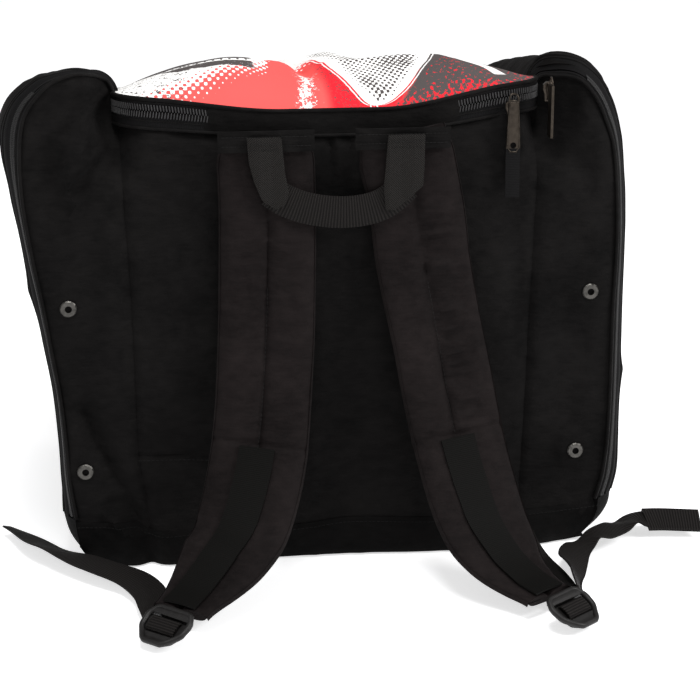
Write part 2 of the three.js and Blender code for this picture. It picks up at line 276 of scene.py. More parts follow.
def patch(name, outline, place, thickness, material, step=4.0, flip=False):
    """A cloth panel cut to a flat outline.

    place(points, edge_distance) gives its outer face and the direction inward.
    """
    loop = np.asarray(outline, float)
    if np.linalg.norm(loop[0] - loop[-1]) < 1e-6:
        loop = loop[:-1]
    closed = np.vstack([loop, loop[:1]])
    rim = even(closed, max(int(path_length(closed) / (step * 0.8)), 8))[:-1]
    border = np.vstack([rim, rim[:1]])
    low, high = rim.min(0), rim.max(0)
    xs = np.arange(low[0] + step / 2, high[0], step)
    zs = np.arange(low[1] + step / 2, high[1], step * 0.866)
    gx, gz = np.meshgrid(xs, zs)
    gx = gx + (np.arange(len(zs)) % 2)[:, None] * step / 2
    middle = join(gx.ravel(), gz.ravel())
    middle = middle[within(middle, rim)]
    middle = middle[distance_to(middle, border) > step * 0.45]
    count = len(rim)
    edges = [(k, (k + 1) % count) for k in range(count)]
    out = delaunay_2d_cdt([Vector(p) for p in np.vstack([rim, middle])], edges, [], 1, 1e-4)
    flat = np.array([tuple(v) for v in out[0]])
    outer, inward = place(flat, distance_to(flat, border))
    n = len(flat)
    triangles = [tuple(f)[::-1] if flip else tuple(f) for f in out[2]]
    uses = {(f[k], f[(k + 1) % 3]): True for f in triangles for k in range(3)}
    faces = triangles + second_skin(triangles, n)
    faces += [(b, a, a + n, b + n) for a, b in uses if (b, a) not in uses]
    verts = np.vstack([outer, outer + np.asarray(inward) * thickness])
    return make(name, verts, faces, material, np.vstack([flat, flat]))


def reworked(obj, operation, elements, **options):
    """Runs one mesh operation on all faces or all verts of an object."""
    b = bmesh.new()
    b.from_mesh(obj.data)
    operation(b, **{elements: getattr(b, elements)}, **options)
    b.to_mesh(obj.data)
    b.free()
    obj.data.update()
    return obj


def turn_out(obj):
    """Makes all faces look outward."""
    reworked(obj, bmesh.ops.recalc_face_normals, "faces")
    obj.data.set_sharp_from_angle(angle=math.radians(40))
    return obj


def orient(verts, faces):
    """Turns all faces over if the closed mesh is inside out."""
    total = 0.0
    for f in faces:
        for k in range(1, len(f) - 1):
            total += verts[f[0]] @ np.cross(verts[f[k]], verts[f[k + 1]])
    return [f[::-1] for f in faces] if total < 0 else faces


def belongs(obj, body, slot, *nodes):
    if body:
        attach(obj, body)
    if nodes:
        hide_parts(*nodes)
    return obj


# ---- materials ----
def feed(tree, slots, values):
    """Links or sets the inputs of a node."""
    for slot, value in zip(slots, values):
        if isinstance(value, Wire):
            tree.links.new(value.socket, slot)
        else:
            slot.default_value = value


def arithmetic(operation):
    """A method of Wire that adds one math node."""
    def method(self, *others):
        node = self.tree.nodes.new("ShaderNodeMath")
        node.operation = operation
        feed(self.tree, node.inputs, (self, *others))
        return Wire(self.tree, node.outputs[0])

    return method


class Wire:
    """A value in a node tree, so that a pattern can be written as arithmetic."""

    def __init__(self, tree, socket):
        self.tree, self.socket = tree, socket

    __add__ = __radd__ = arithmetic("ADD")
    __mul__ = __rmul__ = arithmetic("MULTIPLY")
    __sub__ = arithmetic("SUBTRACT")
    __truediv__ = arithmetic("DIVIDE")
    power = arithmetic("POWER")
    high = arithmetic("MAXIMUM")
    low = arithmetic("MINIMUM")
    sin = arithmetic("SINE")
    cos = arithmetic("COSINE")
    abs = arithmetic("ABSOLUTE")
    sign = arithmetic("SIGN")

    def __rsub__(self, other):
        return (self * -1) + other

    def clip(self):
        return self.high(0.0).low(1.0)

    def step(self, low, high):
        """0 below low, 1 above high, smooth between."""
        node = self.tree.nodes.new("ShaderNodeMapRange")
        node.interpolation_type = "SMOOTHSTEP"
        feed(self.tree, node.inputs, (self, low, high))
        return Wire(self.tree, node.outputs["Result"])


class Paint:
    """One Principled material with helpers for procedural detail."""

    def __init__(self, name, color, roughness, metallic=0.0, sheen=0.0, specular=0.5):
        self.material = bpy.data.materials.new(name)
        self.material.use_nodes = True
        self.tree = self.material.node_tree
        self.shader = self.tree.nodes["Principled BSDF"]
        for slot, value in (("Base Color", (*color, 1)), ("Roughness", roughness), ("Metallic", metallic),
                            ("Specular IOR Level", specular), ("Sheen Weight", sheen), ("Sheen Roughness", 0.5),
                            ("Sheen Tint", (0.9, 0.87, 0.88, 1))):
            self.shader.inputs[slot].default_value = value
        coordinate = self.tree.nodes.new("ShaderNodeTexCoord")
        self.place = coordinate.outputs["Object"]
        self.flat = coordinate.outputs["UV"]

    def axes(self, source):
        """The three coordinates in millimetres."""
        node = self.tree.nodes.new("ShaderNodeSeparateXYZ")
        self.tree.links.new(source, node.inputs[0])
        return [Wire(self.tree, s) * 1000.0 for s in node.outputs]

    def noise(self, point, size, detail=2.0, rough=0.5):
        """Noise from 0 to 1 of that feature size in millimetres, at a point in millimetres."""
        vector = self.tree.nodes.new("ShaderNodeCombineXYZ")
        feed(self.tree, vector.inputs, point)
        node = self.tree.nodes.new("ShaderNodeTexNoise")
        self.tree.links.new(vector.outputs[0], node.inputs["Vector"])
        for slot, value in (("Scale", 1.0 / size), ("Detail", detail), ("Roughness", rough)):
            node.inputs[slot].default_value = value
        return Wire(self.tree, node.outputs[0])

    def mix(self, share, a, b):
        node = self.tree.nodes.new("ShaderNodeMix")
        node.data_type = "RGBA"
        self.tree.links.new(share.socket, node.inputs[0])
        for slot, value in ((node.inputs[6], a), (node.inputs[7], b)):
            if isinstance(value, tuple):
                slot.default_value = (*value, 1)
            else:
                self.tree.links.new(value, slot)
        return node.outputs[2]

    def color(self, socket):
        self.tree.links.new(socket, self.shader.inputs["Base Color"])

    def roughness(self, wire):
        self.tree.links.new(wire.socket, self.shader.inputs["Roughness"])

    def relief(self, height, depth):
        """Height from 0 to 1 as a bump of that depth in millimetres."""
        node = self.tree.nodes.new("ShaderNodeBump")
        node.inputs["Strength"].default_value = 1.0
        node.inputs["Distance"].default_value = depth * MM
        self.tree.links.new(height.socket, node.inputs["Height"])
        self.tree.links.new(node.outputs[0], self.shader.inputs["Normal"])


def plain_weave(name, dark, light, roughness, sheen, streak=1.0, depth=0.12):
    """Coated polyester: a fine weave, slubs along the threads and soft rubbed patches."""
    paint = Paint(name, dark, roughness, sheen=sheen, specular=0.05)
    x, y, z = paint.axes(paint.place)
    across = x + y * 0.8
    weave = (across * 7.0).sin() * (z * 7.0 + y * 2.0).sin()
    slub = paint.noise((across * 0.09, y * 0.09, z * 1.1), 1.0, 3.0, 0.6)
    rise = paint.noise((across * 1.1, y * 0.5, z * 0.09), 1.0, 2.0, 0.6)
    wear = paint.noise((x, y, z), 55.0, 4.0, 0.6)
    fuzz = paint.noise((x, y, z), 0.9, 2.0, 0.7)
    pucker = paint.noise((x, y, z * 1.7), 11.0, 3.0, 0.55)
    share = (wear - 0.5) * 1.6 + (slub - 0.5) * 1.1 * streak + (fuzz - 0.5) * 0.8 + (pucker - 0.5) * 0.9 + 0.42
    paint.color(paint.mix(share.clip(), dark, light))
    paint.roughness(wear * 0.16 + (slub - 0.5) * 0.2 + (roughness - 0.08))
    paint.relief(weave * 0.22 + slub * 0.55 + rise * 0.35 + fuzz * 0.45 + pucker * 9.0, depth)
    return paint.material


def webbing(name, dark, light, pitch=2.2, depth=0.35, twill=False):
    """Woven tape, from its own length and width: ribs across it and threads along it."""
    paint = Paint(name, dark, 0.62, sheen=0.01, specular=0.06)
    length, width, _ = paint.axes(paint.flat)
    turn = 2 * math.pi / pitch
    wobble = paint.noise((length, width, 0.0), 3.0, 2.0)
    if twill:
        chevron = (width * 0.32).sin().sign() * width
        ribs = ((length + chevron + wobble * 0.4) * turn * 1.25).sin() * 0.5 + 0.5
    else:
        ribs = ((length + wobble * 0.35) * turn).sin() * 0.5 + 0.5
    threads = (width * (turn * 1.6)).sin() * 0.5 + 0.5
    fibre = paint.noise((length * 0.6, width * 3.0, 0.0), 0.8, 2.0, 0.6)
    height = ribs * 0.6 + threads * ribs * 0.3 + fibre * 0.3
    paint.color(paint.mix((height * 0.75 + (fibre - 0.5) * 0.5).clip(), dark, light))
    paint.relief(height, depth)
    return paint.material


def moulded(name, dark, light, roughness):
    """Moulded acetal with a faint grain and rubbed edges."""
    paint = Paint(name, dark, roughness, specular=0.28)
    spot = paint.axes(paint.place)
    grain = paint.noise(spot, 0.5, 3.0, 0.6)
    scuff = paint.noise(spot, 6.0, 4.0, 0.65)
    paint.color(paint.mix((scuff * 1.4 - 0.3).clip(), dark, light))
    paint.roughness(scuff * 0.3 + (roughness - 0.12))
    paint.relief(grain * 0.6 + scuff * 0.4, 0.05)
    return paint.material


def metal(name, dark, light, roughness):
    """Plated zinc or brass, slightly tarnished."""
    paint = Paint(name, dark, roughness, metallic=1.0)
    x, y, z = paint.axes(paint.place)
    cloud = paint.noise((x, y, z), 3.0, 4.0, 0.6)
    fine = paint.noise((x * 3.0, y * 3.0, z * 0.5), 0.6, 2.0, 0.6)
    paint.color(paint.mix((cloud * 1.3 - 0.15).clip(), dark, light))
    paint.roughness(cloud * 0.25 + fine * 0.12 + (roughness - 0.15))
    paint.relief(fine * 0.5 + cloud * 0.5, 0.03)
    return paint.material


def halftone_print(name, top):
    """The printed cloth: coral red, charcoal and white fields that break up into halftone dots."""
    white = (0.93, 0.92, 0.9)
    coral = (0.83, 0.105, 0.098)
    bright = (0.8, 0.022, 0.035)
    charcoal = (0.082, 0.072, 0.071)
    paint = Paint(name, (0.8, 0.1, 0.1), 0.7, sheen=0.0, specular=0.02)
    x, y, z = paint.axes(paint.place)
    v = (y + 150.0) if top else (355.0 - z) * 0.9
    spot = (x, v * 0.6, 0.0)
    big = paint.noise(spot, 30.0, 3.0, 0.55) - 0.5
    rag = paint.noise(spot, 7.0, 4.0, 0.7) - 0.5
    speck = paint.noise(spot, 2.6, 3.0, 0.75)
    half = v * 0.5
    a, b = (x + half) * 0.7071, (x - half) * 0.7071
    root = (v - 2.0).high(0.0).power(0.5)

    def screen(pitch):
        turn = 2 * math.pi / pitch
        return ((a * turn).cos() + (b * turn).cos()) * 0.25 + 0.5

    dots, fine_dots = screen(4.6), screen(3.4)
    # Coral at the left, breaking into white halftone dots away from the harness side.
    past = (x + 46.0).step(0.0, 12.0)
    solid = v - (x + 112.0) * 0.85 * (1 - past) - past * 130.0
    base = paint.mix((solid / 50.0 + big * 0.5 - dots + 0.12).step(-0.04, 0.04), coral, white)
    # Charcoal over the far left, splattered with white.
    far = (v - 62.0 + rag * 16.0 - (x * -1.0 - 112.0).high(0.0) * 1.2).step(0.0, 3.0)
    gap = (1 - (v - 90.0 + rag * 8.0).abs().step(3.0, 4.0)) * (dots * -1.0 + 1.0).step(0.2, 0.3)
    dark = far * (x * -1.0 - 52.0 + rag * 14.0).step(0.0, 3.0) * (1 - gap)
    flecks = (speck + rag * 0.5 - 0.66).step(0.0, 0.03) * dark
    chips = (speck + rag * 0.6 - 0.57).step(0.0, 0.03) * (x * -1.0 - 104.0 + solid * 0.3).step(0.0, 20.0)
    # A streak of white splatter between the coral and the pointed shape.
    streak = (speck + rag * 0.8 - (x + 20.0 - v * 0.1).abs() / 42.0 - 0.42).step(0.0, 0.04) * (1 - v.step(60.0, 90.0))
    # Charcoal field at the right with red speckle, redder near the harness side.
    right = (x - 45.0 - root * 4.0 + rag * 8.0).step(-3.0, 3.0)
    rear = 1 - v.step(0.0, 26.0)
    red = (speck * 1.6 + dots * 0.25 + big * 0.8 - 1.14 + rear * 0.24).step(0.0, 0.05) * right
    # Brighter red with dark speckle near the middle.
    middle = (x + 6.0).step(0.0, 10.0) * (1 - right)
    glow = middle * ((rag + big + 0.6).step(0.0, 0.2))
    dash = (speck + rag * 0.4 - 0.56).step(0.0, 0.04) * middle
    # The white pointed shape with its outline and its pepper of dots: its tip is near the harness side.
    wedge = root * 4.4 - (x - 32.0 - root * 1.8).abs()
    ragged = wedge + rag * 2.0
    line = (ragged + 3.0).step(-0.4, 0.4) * (1 - (ragged + 1.9).step(-0.4, 0.4))
    inside = (wedge + rag * 1.2).step(-0.5, 0.5)
    pepper = (wedge - 3.0).step(0.0, 12.0) * 0.5 + big * 0.9 + (speck - 0.5) * 0.8 - fine_dots * 0.9 - 0.04
    pepper = pepper.step(0.0, 0.06) * inside
    # A white border stripe over the far right corner.
    lean = (v - 40.0) * 0.35
    border = (x - 128.0 + lean).step(0.0, 1.5) * (1 - (x - 137.0 + lean).step(0.0, 1.5)) * v.step(30.0, 34.0)
    for share, ink in ((dark, charcoal), (flecks, white), (chips, charcoal), (streak, white), (right, charcoal),
                       (red, bright), (glow, bright), (dash, charcoal), (line, white), (inside, white),
                       (pepper, charcoal), (border, white)):
        base = paint.mix(share, base, ink)
    paint.color(base)
    fuzz = paint.noise((x, y, z), 0.8, 2.0, 0.7)
    paint.relief((x * 7.5).sin() * (v * 7.5).sin() * 0.3 + fuzz * 0.6, 0.09)
    paint.roughness(fuzz * 0.15 + 0.55)
    return paint.material


BLACK = plain_weave("bag_cloth", (0.0023, 0.0021, 0.0021), (0.0082, 0.0075, 0.0073), 0.8, 0.008)
# The base's cloth is the bag cloth made darker: partly painted shade for the downward-facing base, partly dirt.
BASE_CLOTH_SHADE_AND_DIRT = plain_weave("base_cloth_shade_and_dirt", (0.0014, 0.0013, 0.0013), (0.005, 0.0046, 0.0045), 0.8, 0.006)
LINING = plain_weave("lining_cloth", (0.004, 0.0039, 0.004), (0.008, 0.0078, 0.0078), 0.7, 0.005)
STRAP = plain_weave("strap_cloth", (0.0042, 0.0031, 0.0031), (0.0135, 0.0104, 0.0102), 0.7, 0.012, streak=0.7)
BINDING = plain_weave("binding_tape", (0.0025, 0.0023, 0.0023), (0.0085, 0.0078, 0.0076), 0.6, 0.008, depth=0.2)
WEBBING = webbing("ribbed_webbing", (0.0024, 0.0022, 0.0021), (0.0205, 0.018, 0.017), depth=0.6)
SEWN = webbing("sewn_webbing", (0.0014, 0.0013, 0.0011), (0.0048, 0.0045, 0.0039), pitch=1.5, depth=0.14)
TWILL = webbing("twill_webbing", (0.003, 0.0028, 0.0025), (0.027, 0.0247, 0.023), depth=0.5, twill=True)
TAPE = webbing("zip_tape_weave", (0.0022, 0.0021, 0.0022), (0.0085, 0.008, 0.0085), pitch=1.3, depth=0.15)
COIL = moulded("nylon_coil", (0.016, 0.0156, 0.016), (0.055, 0.053, 0.053), 0.4)
DOOR_COIL = moulded("door_coil", (0.007, 0.0068, 0.007), (0.022, 0.021, 0.021), 0.5)
THREAD = moulded("thread", (0.0022, 0.002, 0.002), (0.0065, 0.006, 0.0058), 0.8)
PLASTIC = moulded("acetal", (0.0038, 0.0034, 0.0033), (0.013, 0.0117, 0.0113), 0.45)
GUNMETAL = metal("gunmetal", (0.022, 0.018, 0.015), (0.075, 0.062, 0.05), 0.36)
NICKEL = metal("dark_nickel", (0.024, 0.023, 0.0215), (0.115, 0.11, 0.102), 0.3)
PRINT = halftone_print("lid_print", True)
PRINT_FRONT = halftone_print("front_print", False)


# ---- the shape of the bag ----
# x and z of the edge of each boot compartment, at its zip and at its fullest.
EAR_SEAM = {
    "right": [(164, 354), (164, 368), (169, 377), (178, 379.5), (187, 381), (194, 378.5), (201, 371),
              (208, 359.5), (214, 345), (219.5, 328), (223, 300), (225, 262), (225, 231), (224, 195), (224, 107),
              (221, 62), (214, 33)],
    "left": [(-164, 354), (-164, 368), (-168, 379), (-175, 384.5), (-184, 389), (-193.5, 391), (-203, 389),
             (-213, 384), (-223, 374), (-230, 364), (-234, 352), (-236, 333), (-236.5, 310), (-235, 286),
             (-230, 248), (-224.5, 215), (-219, 175), (-214, 139), (-211.5, 106), (-209.5, 69), (-205, 36)],
}
EAR_FULL = {
    "right": [(165, 354), (164, 372), (170, 386), (180, 394), (194, 394.5), (209, 385), (220, 368), (227, 345),
              (231.5, 317), (235, 277), (237, 222), (238, 152), (238.5, 95), (240, 57), (235, 32)],
    "left": [(-165, 354), (-164, 367), (-168, 377), (-178, 383.5), (-191, 386.5), (-204, 386.5), (-217, 384),
             (-231, 378), (-242.5, 368), (-250, 353), (-251.5, 338), (-250, 324), (-246, 306), (-241.5, 285),
             (-237.5, 262), (-233, 238), (-228, 212), (-223.5, 190), (-219, 160), (-216, 135), (-215, 110),
             (-215, 72), (-214, 33)],
}
EAR_DROOP = {"right": 1.16, "left": 1.0}
SEAM_LINE = {s: spread(p, 200) for s, p in EAR_SEAM.items()}
FULL_LINE = {s: spread(p, 200) for s, p in EAR_FULL.items()}
SEAMS = {
    "left": spread([(-162, 358), (-160, 295), (-157, 225), (-156, 177), (-155, 89), (-150, 59), (-146, 4)], 120),
    "right": spread([(162, 358), (160, 300), (158, 230), (156, 170), (154, 100), (152, 50), (150, 4)], 120),
}
LUMBAR_SEAM = spread([(-156, 89), (-130, 89.5), (-100, 88)], 30)
DEEP_CREASE = spread([(-196, 128), (-180, 88), (-164, 55), (-152, 26), (-148, 4)], 40)
WRAP_LINE = spread([(-206, 37), (-185, 36), (-157, 35), (-143, 29), (-39, 27.5), (13, 32), (78, 29.5), (174, 31),
                    (219, 33.5)], 140)
EYELETS = ((205, 212), (197, 79))
EYELET_SEAT = 155.2
ZIP_PLANE = 152.6
COIL_BEGINS = {"left": 0.2, "right": 0.14}


def sag(y):
    """How far the boot tops droop towards the far side of the bag."""
    reach = np.asarray(y, float) + 118
    return 0.073 * (reach + np.sqrt(reach ** 2 + 400))


def recess(x, z):
    """How deep the rear dips beside the lid's rounded corners."""
    return 42 * hill(np.abs(x), 168, 17) * smooth(298, 356, z)


def fullness(y):
    """0 at the zips and 1 away from them, as a rounded edge."""
    return np.sin(np.clip((155 - np.abs(y)) / 42, 0, 1) * math.pi / 2)


def door_surface(side, share, y, lift=0.0, rough=True):
    """Points of a boot compartment's outer skin: share runs from its inner end over the top and down."""
    share, y = np.broadcast_arrays(np.asarray(share, float), np.asarray(y, float))
    t = along(FULL_LINE[side]) * SIDES[side]
    normal = unit(sample(join(-t[:, 1], t[:, 0]), share))
    full = fullness(y)[..., None]
    flat = sample(SEAM_LINE[side], share) * (1 - full) + sample(FULL_LINE[side], share) * full
    drop = sag(y) * EAR_DROOP[side] * smooth(300, 362, flat[..., 1])
    if rough:
        spot = join(flat[..., 0], y, flat[..., 1])
        fold = noise(spot, (60, 45, 70), 3) * 2.0 + (creases(spot, (40, 26, 90), 5) - 0.55) * 2.6
        fold = fold + noise(spot, (16, 12, 22), 9) * 0.7
        fade = smooth(0, 20, 141 - np.abs(y)) * smooth(0.02, 0.24, share) * smooth(0.0, 0.06, 1 - share)
        hang = smooth(0.2, 0.4, share) * smooth(0, 40, 135 - np.abs(y))
        fold = fold * (1 + 0.7 * hang) - 1.4 * hang
        lift = lift + fold * (0.25 + 0.75 * fade) - 3.0 * hill(y, 10, 60) * smooth(0.3, 0.6, share) * fade
    flat = flat + normal * np.asarray(lift)[..., None]
    dip = recess(flat[..., 0], flat[..., 1]) * smooth(-60, -155, y)
    return join(flat[..., 0], y + dip, flat[..., 1] - drop)


def door_grid(side, ys, lift=0.0, rough=True, count=200, low=0.005, high=0.99):
    share, y = np.meshgrid(np.linspace(low, high, count), ys, indexing="ij")
    return door_surface(side, share, y, lift, rough)


def rim_height(x):
    """Top of the centre panels under the lid's zip, which rises towards both corners."""
    return edge_height(x, -150) - 15 - 4 * smooth(60, 140, np.abs(x))


def rear_relief(points):
    """How far the harness side stands out of its plane at x and z."""
    x, z = points.T
    spot = join(x, 0, z)
    out = noise(spot, (110, 50, 120), 11) * 1.6 + noise(spot, (46, 50, 60), 12) * 0.9
    out += noise(spot, (15, 50, 26), 13) * 0.5 + (creases(spot, (38, 50, 90), 14) - 0.5) * 1.2
    out += smooth(0, 30, 160 - np.abs(x)) * 2.2 * np.sin(np.clip((z - 20) / 320, 0, 1) * math.pi)
    # Seams between the centre and the boot compartments, gathered a little.
    for line in SEAMS.values():
        d = distance_to(points, line)
        pucker = np.sin(z / 4.3 + 2 * np.sin(z / 31)) * 0.25
        out -= (2.2 + pucker) * hill(d, 0, 3.4) + 0.9 * hill(d, 0, 12)
    # Seam across the lower left, where the lumbar patch ends.
    out -= 2.6 * hill(distance_to(points, LUMBAR_SEAM), 0, 1.8)
    # The empty boot compartment falls into one deep crease beside the lower left corner.
    d = distance_to(points, DEEP_CREASE)
    out += 2.2 * hill(d, 17, 9) - 5.5 * hill(d, 0, 6)
    # Pleats under the middle of the rim.
    top, drop = smooth(285, 335, z), 341 - z
    out += top * (1.7 * hill(x, 3 + drop * 0.12, 3.2) - 2.6 * hill(x, -3 + drop * 0.10, 2.4))
    out += top * (1.3 * hill(x, 20, 4.5) - 2.0 * hill(x, 13 + drop * 0.08, 2.2))

    # Crumples at both shoulders and above the lower left corner.
    def turned(a, b):
        return join(x * a + z * b, 0, z * a - x * b)

    skew = turned(0.8, 0.6)
    crumple = (creases(skew, (44, 50, 17), 21) - 0.5) * 20 + noise(skew, (20, 50, 12), 22) * 6.0
    out += hill(x, -198, 34) * hill(z, 335, 42) * crumple
    skew = turned(0.7, -0.7)
    crumple = np.sin(skew[:, 2] / 6.5 + 1.4 * noise(skew, (60, 50, 40), 23)) * 2.2
    crumple += noise(skew, (26, 50, 17), 24) * 5.0
    out += hill(x, 190, 36) * hill(z, 330, 46) * crumple
    out += hill(x, -165, 22) * hill(z, 45, 30) * (creases(skew, (30, 50, 15), 25) - 0.5) * 7
    # Long soft hangs beside the seams, deepest over the empty boot compartments.
    out -= 3.4 * hill(x, 146 - (z - 200) * 0.02, 9) * hill(z, 225, 60)
    out -= 4.0 * hill(x, 182 + (z - 100) * 0.10, 15) * hill(z, 150, 75)
    out -= 3.6 * hill(x, -190 - (z - 110) * 0.12, 14) * hill(z, 120, 70)
    out += 2.4 * hill(x, -205, 16) * hill(z, 215, 70) + 2.0 * hill(x, 203, 14) * hill(z, 250, 80)
    # The lower edge slumps towards the harness, most at the left.
    out += 3 * hill(x, -138, 30) * smooth(60, 8, z) + 6 * smooth(60, 0, z) * smooth(205, 150, np.abs(x))
    out += 5 * hill(x, 110, 60) * smooth(50, 0, z)
    tuck = 4.5 * smooth(-15, -3, z - rim_height(x)) * smooth(168, 158, np.abs(x))
    return out - recess(x, z) - tuck


def rear_face(points, edge):
    """Places flat x and z points on the harness side, turning in at the panel's edge."""
    return on_rear(points, -1.3 * hill(edge, 0, 1.6)), TO_FRONT


def on_rear(points, lift):
    x, z = points.T
    return join(x, REAR_Y - rear_relief(points) - lift, z)


def pressed(y, points, line, level):
    """Brings y to a level along the edge of a boot compartment."""
    turn = np.clip(1 - distance_to(points, line) / 13, 0, 1) ** 2
    return y * (1 - turn) + level * turn


def ear_loop(side, ear, seam):
    sign = SIDES[side]
    return np.vstack([ear, [[204 * sign, 14], [196 * sign, 12]], seam[::-1]])


def rear_panels():
    left, right = (line[(line[:, 1] >= 12) & (line[:, 1] <= 352)] for line in (SEAMS["left"], SEAMS["right"]))
    top_x = np.linspace(left[0, 0], right[0, 0], 60)
    top = join(top_x, rim_height(top_x) - 0.5)
    loop = np.vstack([top, right + (0.8, 0), [[150, 12], [-146, 12]], (left - (0.8, 0))[::-1]])
    obj = patch("centre_back_panel", loop, rear_face, 6.5, BLACK, step=3.4)
    belongs(obj, "bag", "black_cloth", "back_panel")
    sew("lumbar_stitches", on_rear(LUMBAR_SEAM - (0, 3.0), 0.5), TO_REAR, "bag")
    for side, seam in (("left", left), ("right", right)):
        sign = SIDES[side]

        def place(points, edge):
            outer, inward = rear_face(points, edge)
            level = -ZIP_PLANE + recess(*points.T)
            outer[:, 1] = pressed(outer[:, 1], points, SEAM_LINE[side], level)
            for x, z in EYELETS:
                near = smooth(22, 8, np.hypot(points[:, 0] - x * sign, points[:, 1] - z))
                outer[:, 1] = outer[:, 1] * (1 - near) - EYELET_SEAT * near
            return outer, inward

        loop = ear_loop(side, SEAM_LINE[side], seam - (0.4 * sign, 0))
        obj = patch(f"boot_back_{side}", loop, place, 2.6, BLACK, step=3.4)
        belongs(obj, "bag", "black_cloth", f"boot_back_panel_{side}")


def front_top(x):
    return np.minimum(339.5, edge_height(x, 150) - 13)


def front_panels():
    seams = {s: spread([(158 * n, 318), (158 * n, 180), (155 * n, 12)], 60) for s, n in SIDES.items()}

    def place(points, edge):
        x, z = points.T
        spot = join(x, 300, z)
        out = noise(spot, (110, 50, 130), 31) * 1.8 + noise(spot, (44, 50, 50), 32) * 1.0
        out += noise(spot, (15, 50, 20), 33) * 0.3
        for line in seams.values():
            out -= 2.0 * hill(distance_to(points, line), 0, 3.2)
        out += 1.5 * smooth(0, 40, 158 - np.abs(x)) * np.sin(np.clip((z - 15) / 325, 0, 1) * math.pi)
        out -= 3.6 * smooth(-16, -3, z - front_top(x)) * smooth(166, 156, np.abs(x)) + 1.3 * hill(edge, 0, 1.6)
        return join(x, FRONT_Y + out - 1.5, z), TO_REAR

    top_x = np.linspace(-158, 158, 50)
    loop = np.vstack([join(top_x, front_top(top_x)), seams["right"][2:], seams["left"][2:][::-1]])
    obj = patch("centre_front_panel", loop, place, 6.5, PRINT_FRONT, step=4.2, flip=True)
    belongs(obj, "bag", "print_cloth", "front_panel")

    def behind(points, edge):
        return place(points, 9.0)[0] - (0, 7.9, 0), TO_FRONT

    obj = turn_out(patch("front_lining", loop * (0.98, 0.985) + (0, 2.5), behind, 0.8, LINING, step=8.0))
    belongs(obj, "bag", "black_cloth")
    for side, sign in SIDES.items():
        ear = SEAM_LINE[side].copy()
        ear[:, 1] -= sag(155) * EAR_DROOP[side] * smooth(300, 362, ear[:, 1])

        def place_ear(points, edge):
            outer, inward = place(points, edge)
            outer[:, 1] = pressed(outer[:, 1], points, ear, ZIP_PLANE)
            return outer, inward

        loop = ear_loop(side, ear, seams[side] + (0.6 * sign, 0))
        obj = patch(f"boot_front_{side}", loop, place_ear, 2.6, BLACK, step=4.2, flip=True)
        belongs(obj, "bag", "black_cloth", f"boot_front_panel_{side}")


def on_door(obj, side, slot, *nodes):
    """Cloth of a boot door, baked in place, with the given parts hidden."""
    belongs(obj, None, slot, *nodes)
    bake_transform(obj)


def doors():
    for side, sign in SIDES.items():
        surface = door_grid(side, 139.8 * crowded(110), count=220, low=0.01, high=0.995)
        obj = shell(f"boot_door_skin_{side}", surface, 2.6, BLACK, flip=sign > 0)
        on_door(obj, side, "black_cloth", f"boot_door_{side}")
        for face, way in FACES.items():
            end, flip = f"{side}_{face}", (sign > 0) != (way > 0)
            strip = door_grid(side, np.linspace(153.8, 148.6, 5) * way, rough=False)
            obj = shell(f"frame_tape_{end}", strip, 1.0, TAPE, flip=flip)
            belongs(obj, "bag", "zip_tape", f"frame_zip_tape_{end}")
            near = np.linspace(146.4, 130.0, 12) * way
            strip = door_grid(side, near, np.interp(np.abs(near), [139.4, 141.8], [2.7, 0.3]))
            obj = shell(f"door_tape_{end}", strip, 0.9, TAPE, flip=flip)
            on_door(obj, side, "zip_tape", f"door_zip_tape_{end}")
            for name, at, radius, lift, fixed in (
                ("welt", 154.6, 1.4, 0.0, True), ("frame_rib", 152.0, 0.6, 1.1, True),
                ("door_rib", 135.5, 0.8, 3.7, False), ("door_welt", 129.0, 1.3, 3.2, False),
            ):
                line = door_surface(side, np.linspace(0.004, 0.992, 200), at * way, lift, rough=not fixed)
                obj = tube(f"{name}_{end}", line, radius, BINDING)
                if fixed:
                    belongs(obj, "bag", "black_cloth")
                else:
                    on_door(obj, side, "black_cloth")
            begin = COIL_BEGINS[side]

            def line(t, across):
                return door_surface(side, begin + t * (0.99 - begin), (147.8 + across) * way, 1.6, rough=False)

            outer, inner = coil(f"coil_{end}", line, 760 * (1 - begin), 2.3, 3.6, 1.6, DOOR_COIL)
            belongs(outer, "bag", "zip_tape")
            on_door(inner, side, "zip_tape")


def top_tapes():
    """The tape across each boot top's inner end, under the skin."""
    for side in SIDES:
        surface = door_grid(side, np.linspace(-139, 139, 60), -2.0, rough=False, count=8, low=0.0, high=0.03)
        obj = turn_out(shell(f"frame_tape_{side}_top", surface, 1.0, TAPE))
        belongs(obj, "bag", "zip_tape", f"frame_zip_tape_{side}_top")


def coil(name, line, length, pitch, reach, gap, material):
    """The two rows of nylon coil that mesh along a line; line(t, offset) gives points across it."""
    count = int(length / pitch)
    t = (np.arange(count) + 0.5) / count
    ahead = along(line(t, 0.0))
    rows = []
    for row, offset, shift in (("one", gap, 0.0), ("two", -gap, 0.5)):
        at = np.clip(t + shift / count, 0, 1)
        centre = line(at, offset)
        across = unit(line(at, offset + 0.5) - centre)
        lean = unit(across + ahead * 0.16 * (1 if shift else -1))
        size = (reach, pitch * 0.55, 1.5)
        rows.append(bars(f"{name}_{row}", centre, lean, np.cross(across, ahead), size, material, bulge=0.45))
    return rows


def sew(name, line, outward, body, pitch=3.4, length=2.4):
    """A row of stitches along a line."""
    points = even(line, max(int(path_length(line) / pitch), 2) + 1)
    middle = (points[1:] + points[:-1]) / 2
    out = np.asarray(outward, float)
    out = np.tile(out, (len(middle), 1)) if out.ndim == 1 else even(out, len(middle))
    obj = bars(name, middle, points[1:] - points[:-1], out, (length, 0.42, 0.42 * 0.8), THREAD, bulge=0.12)
    return belongs(obj, body, None)


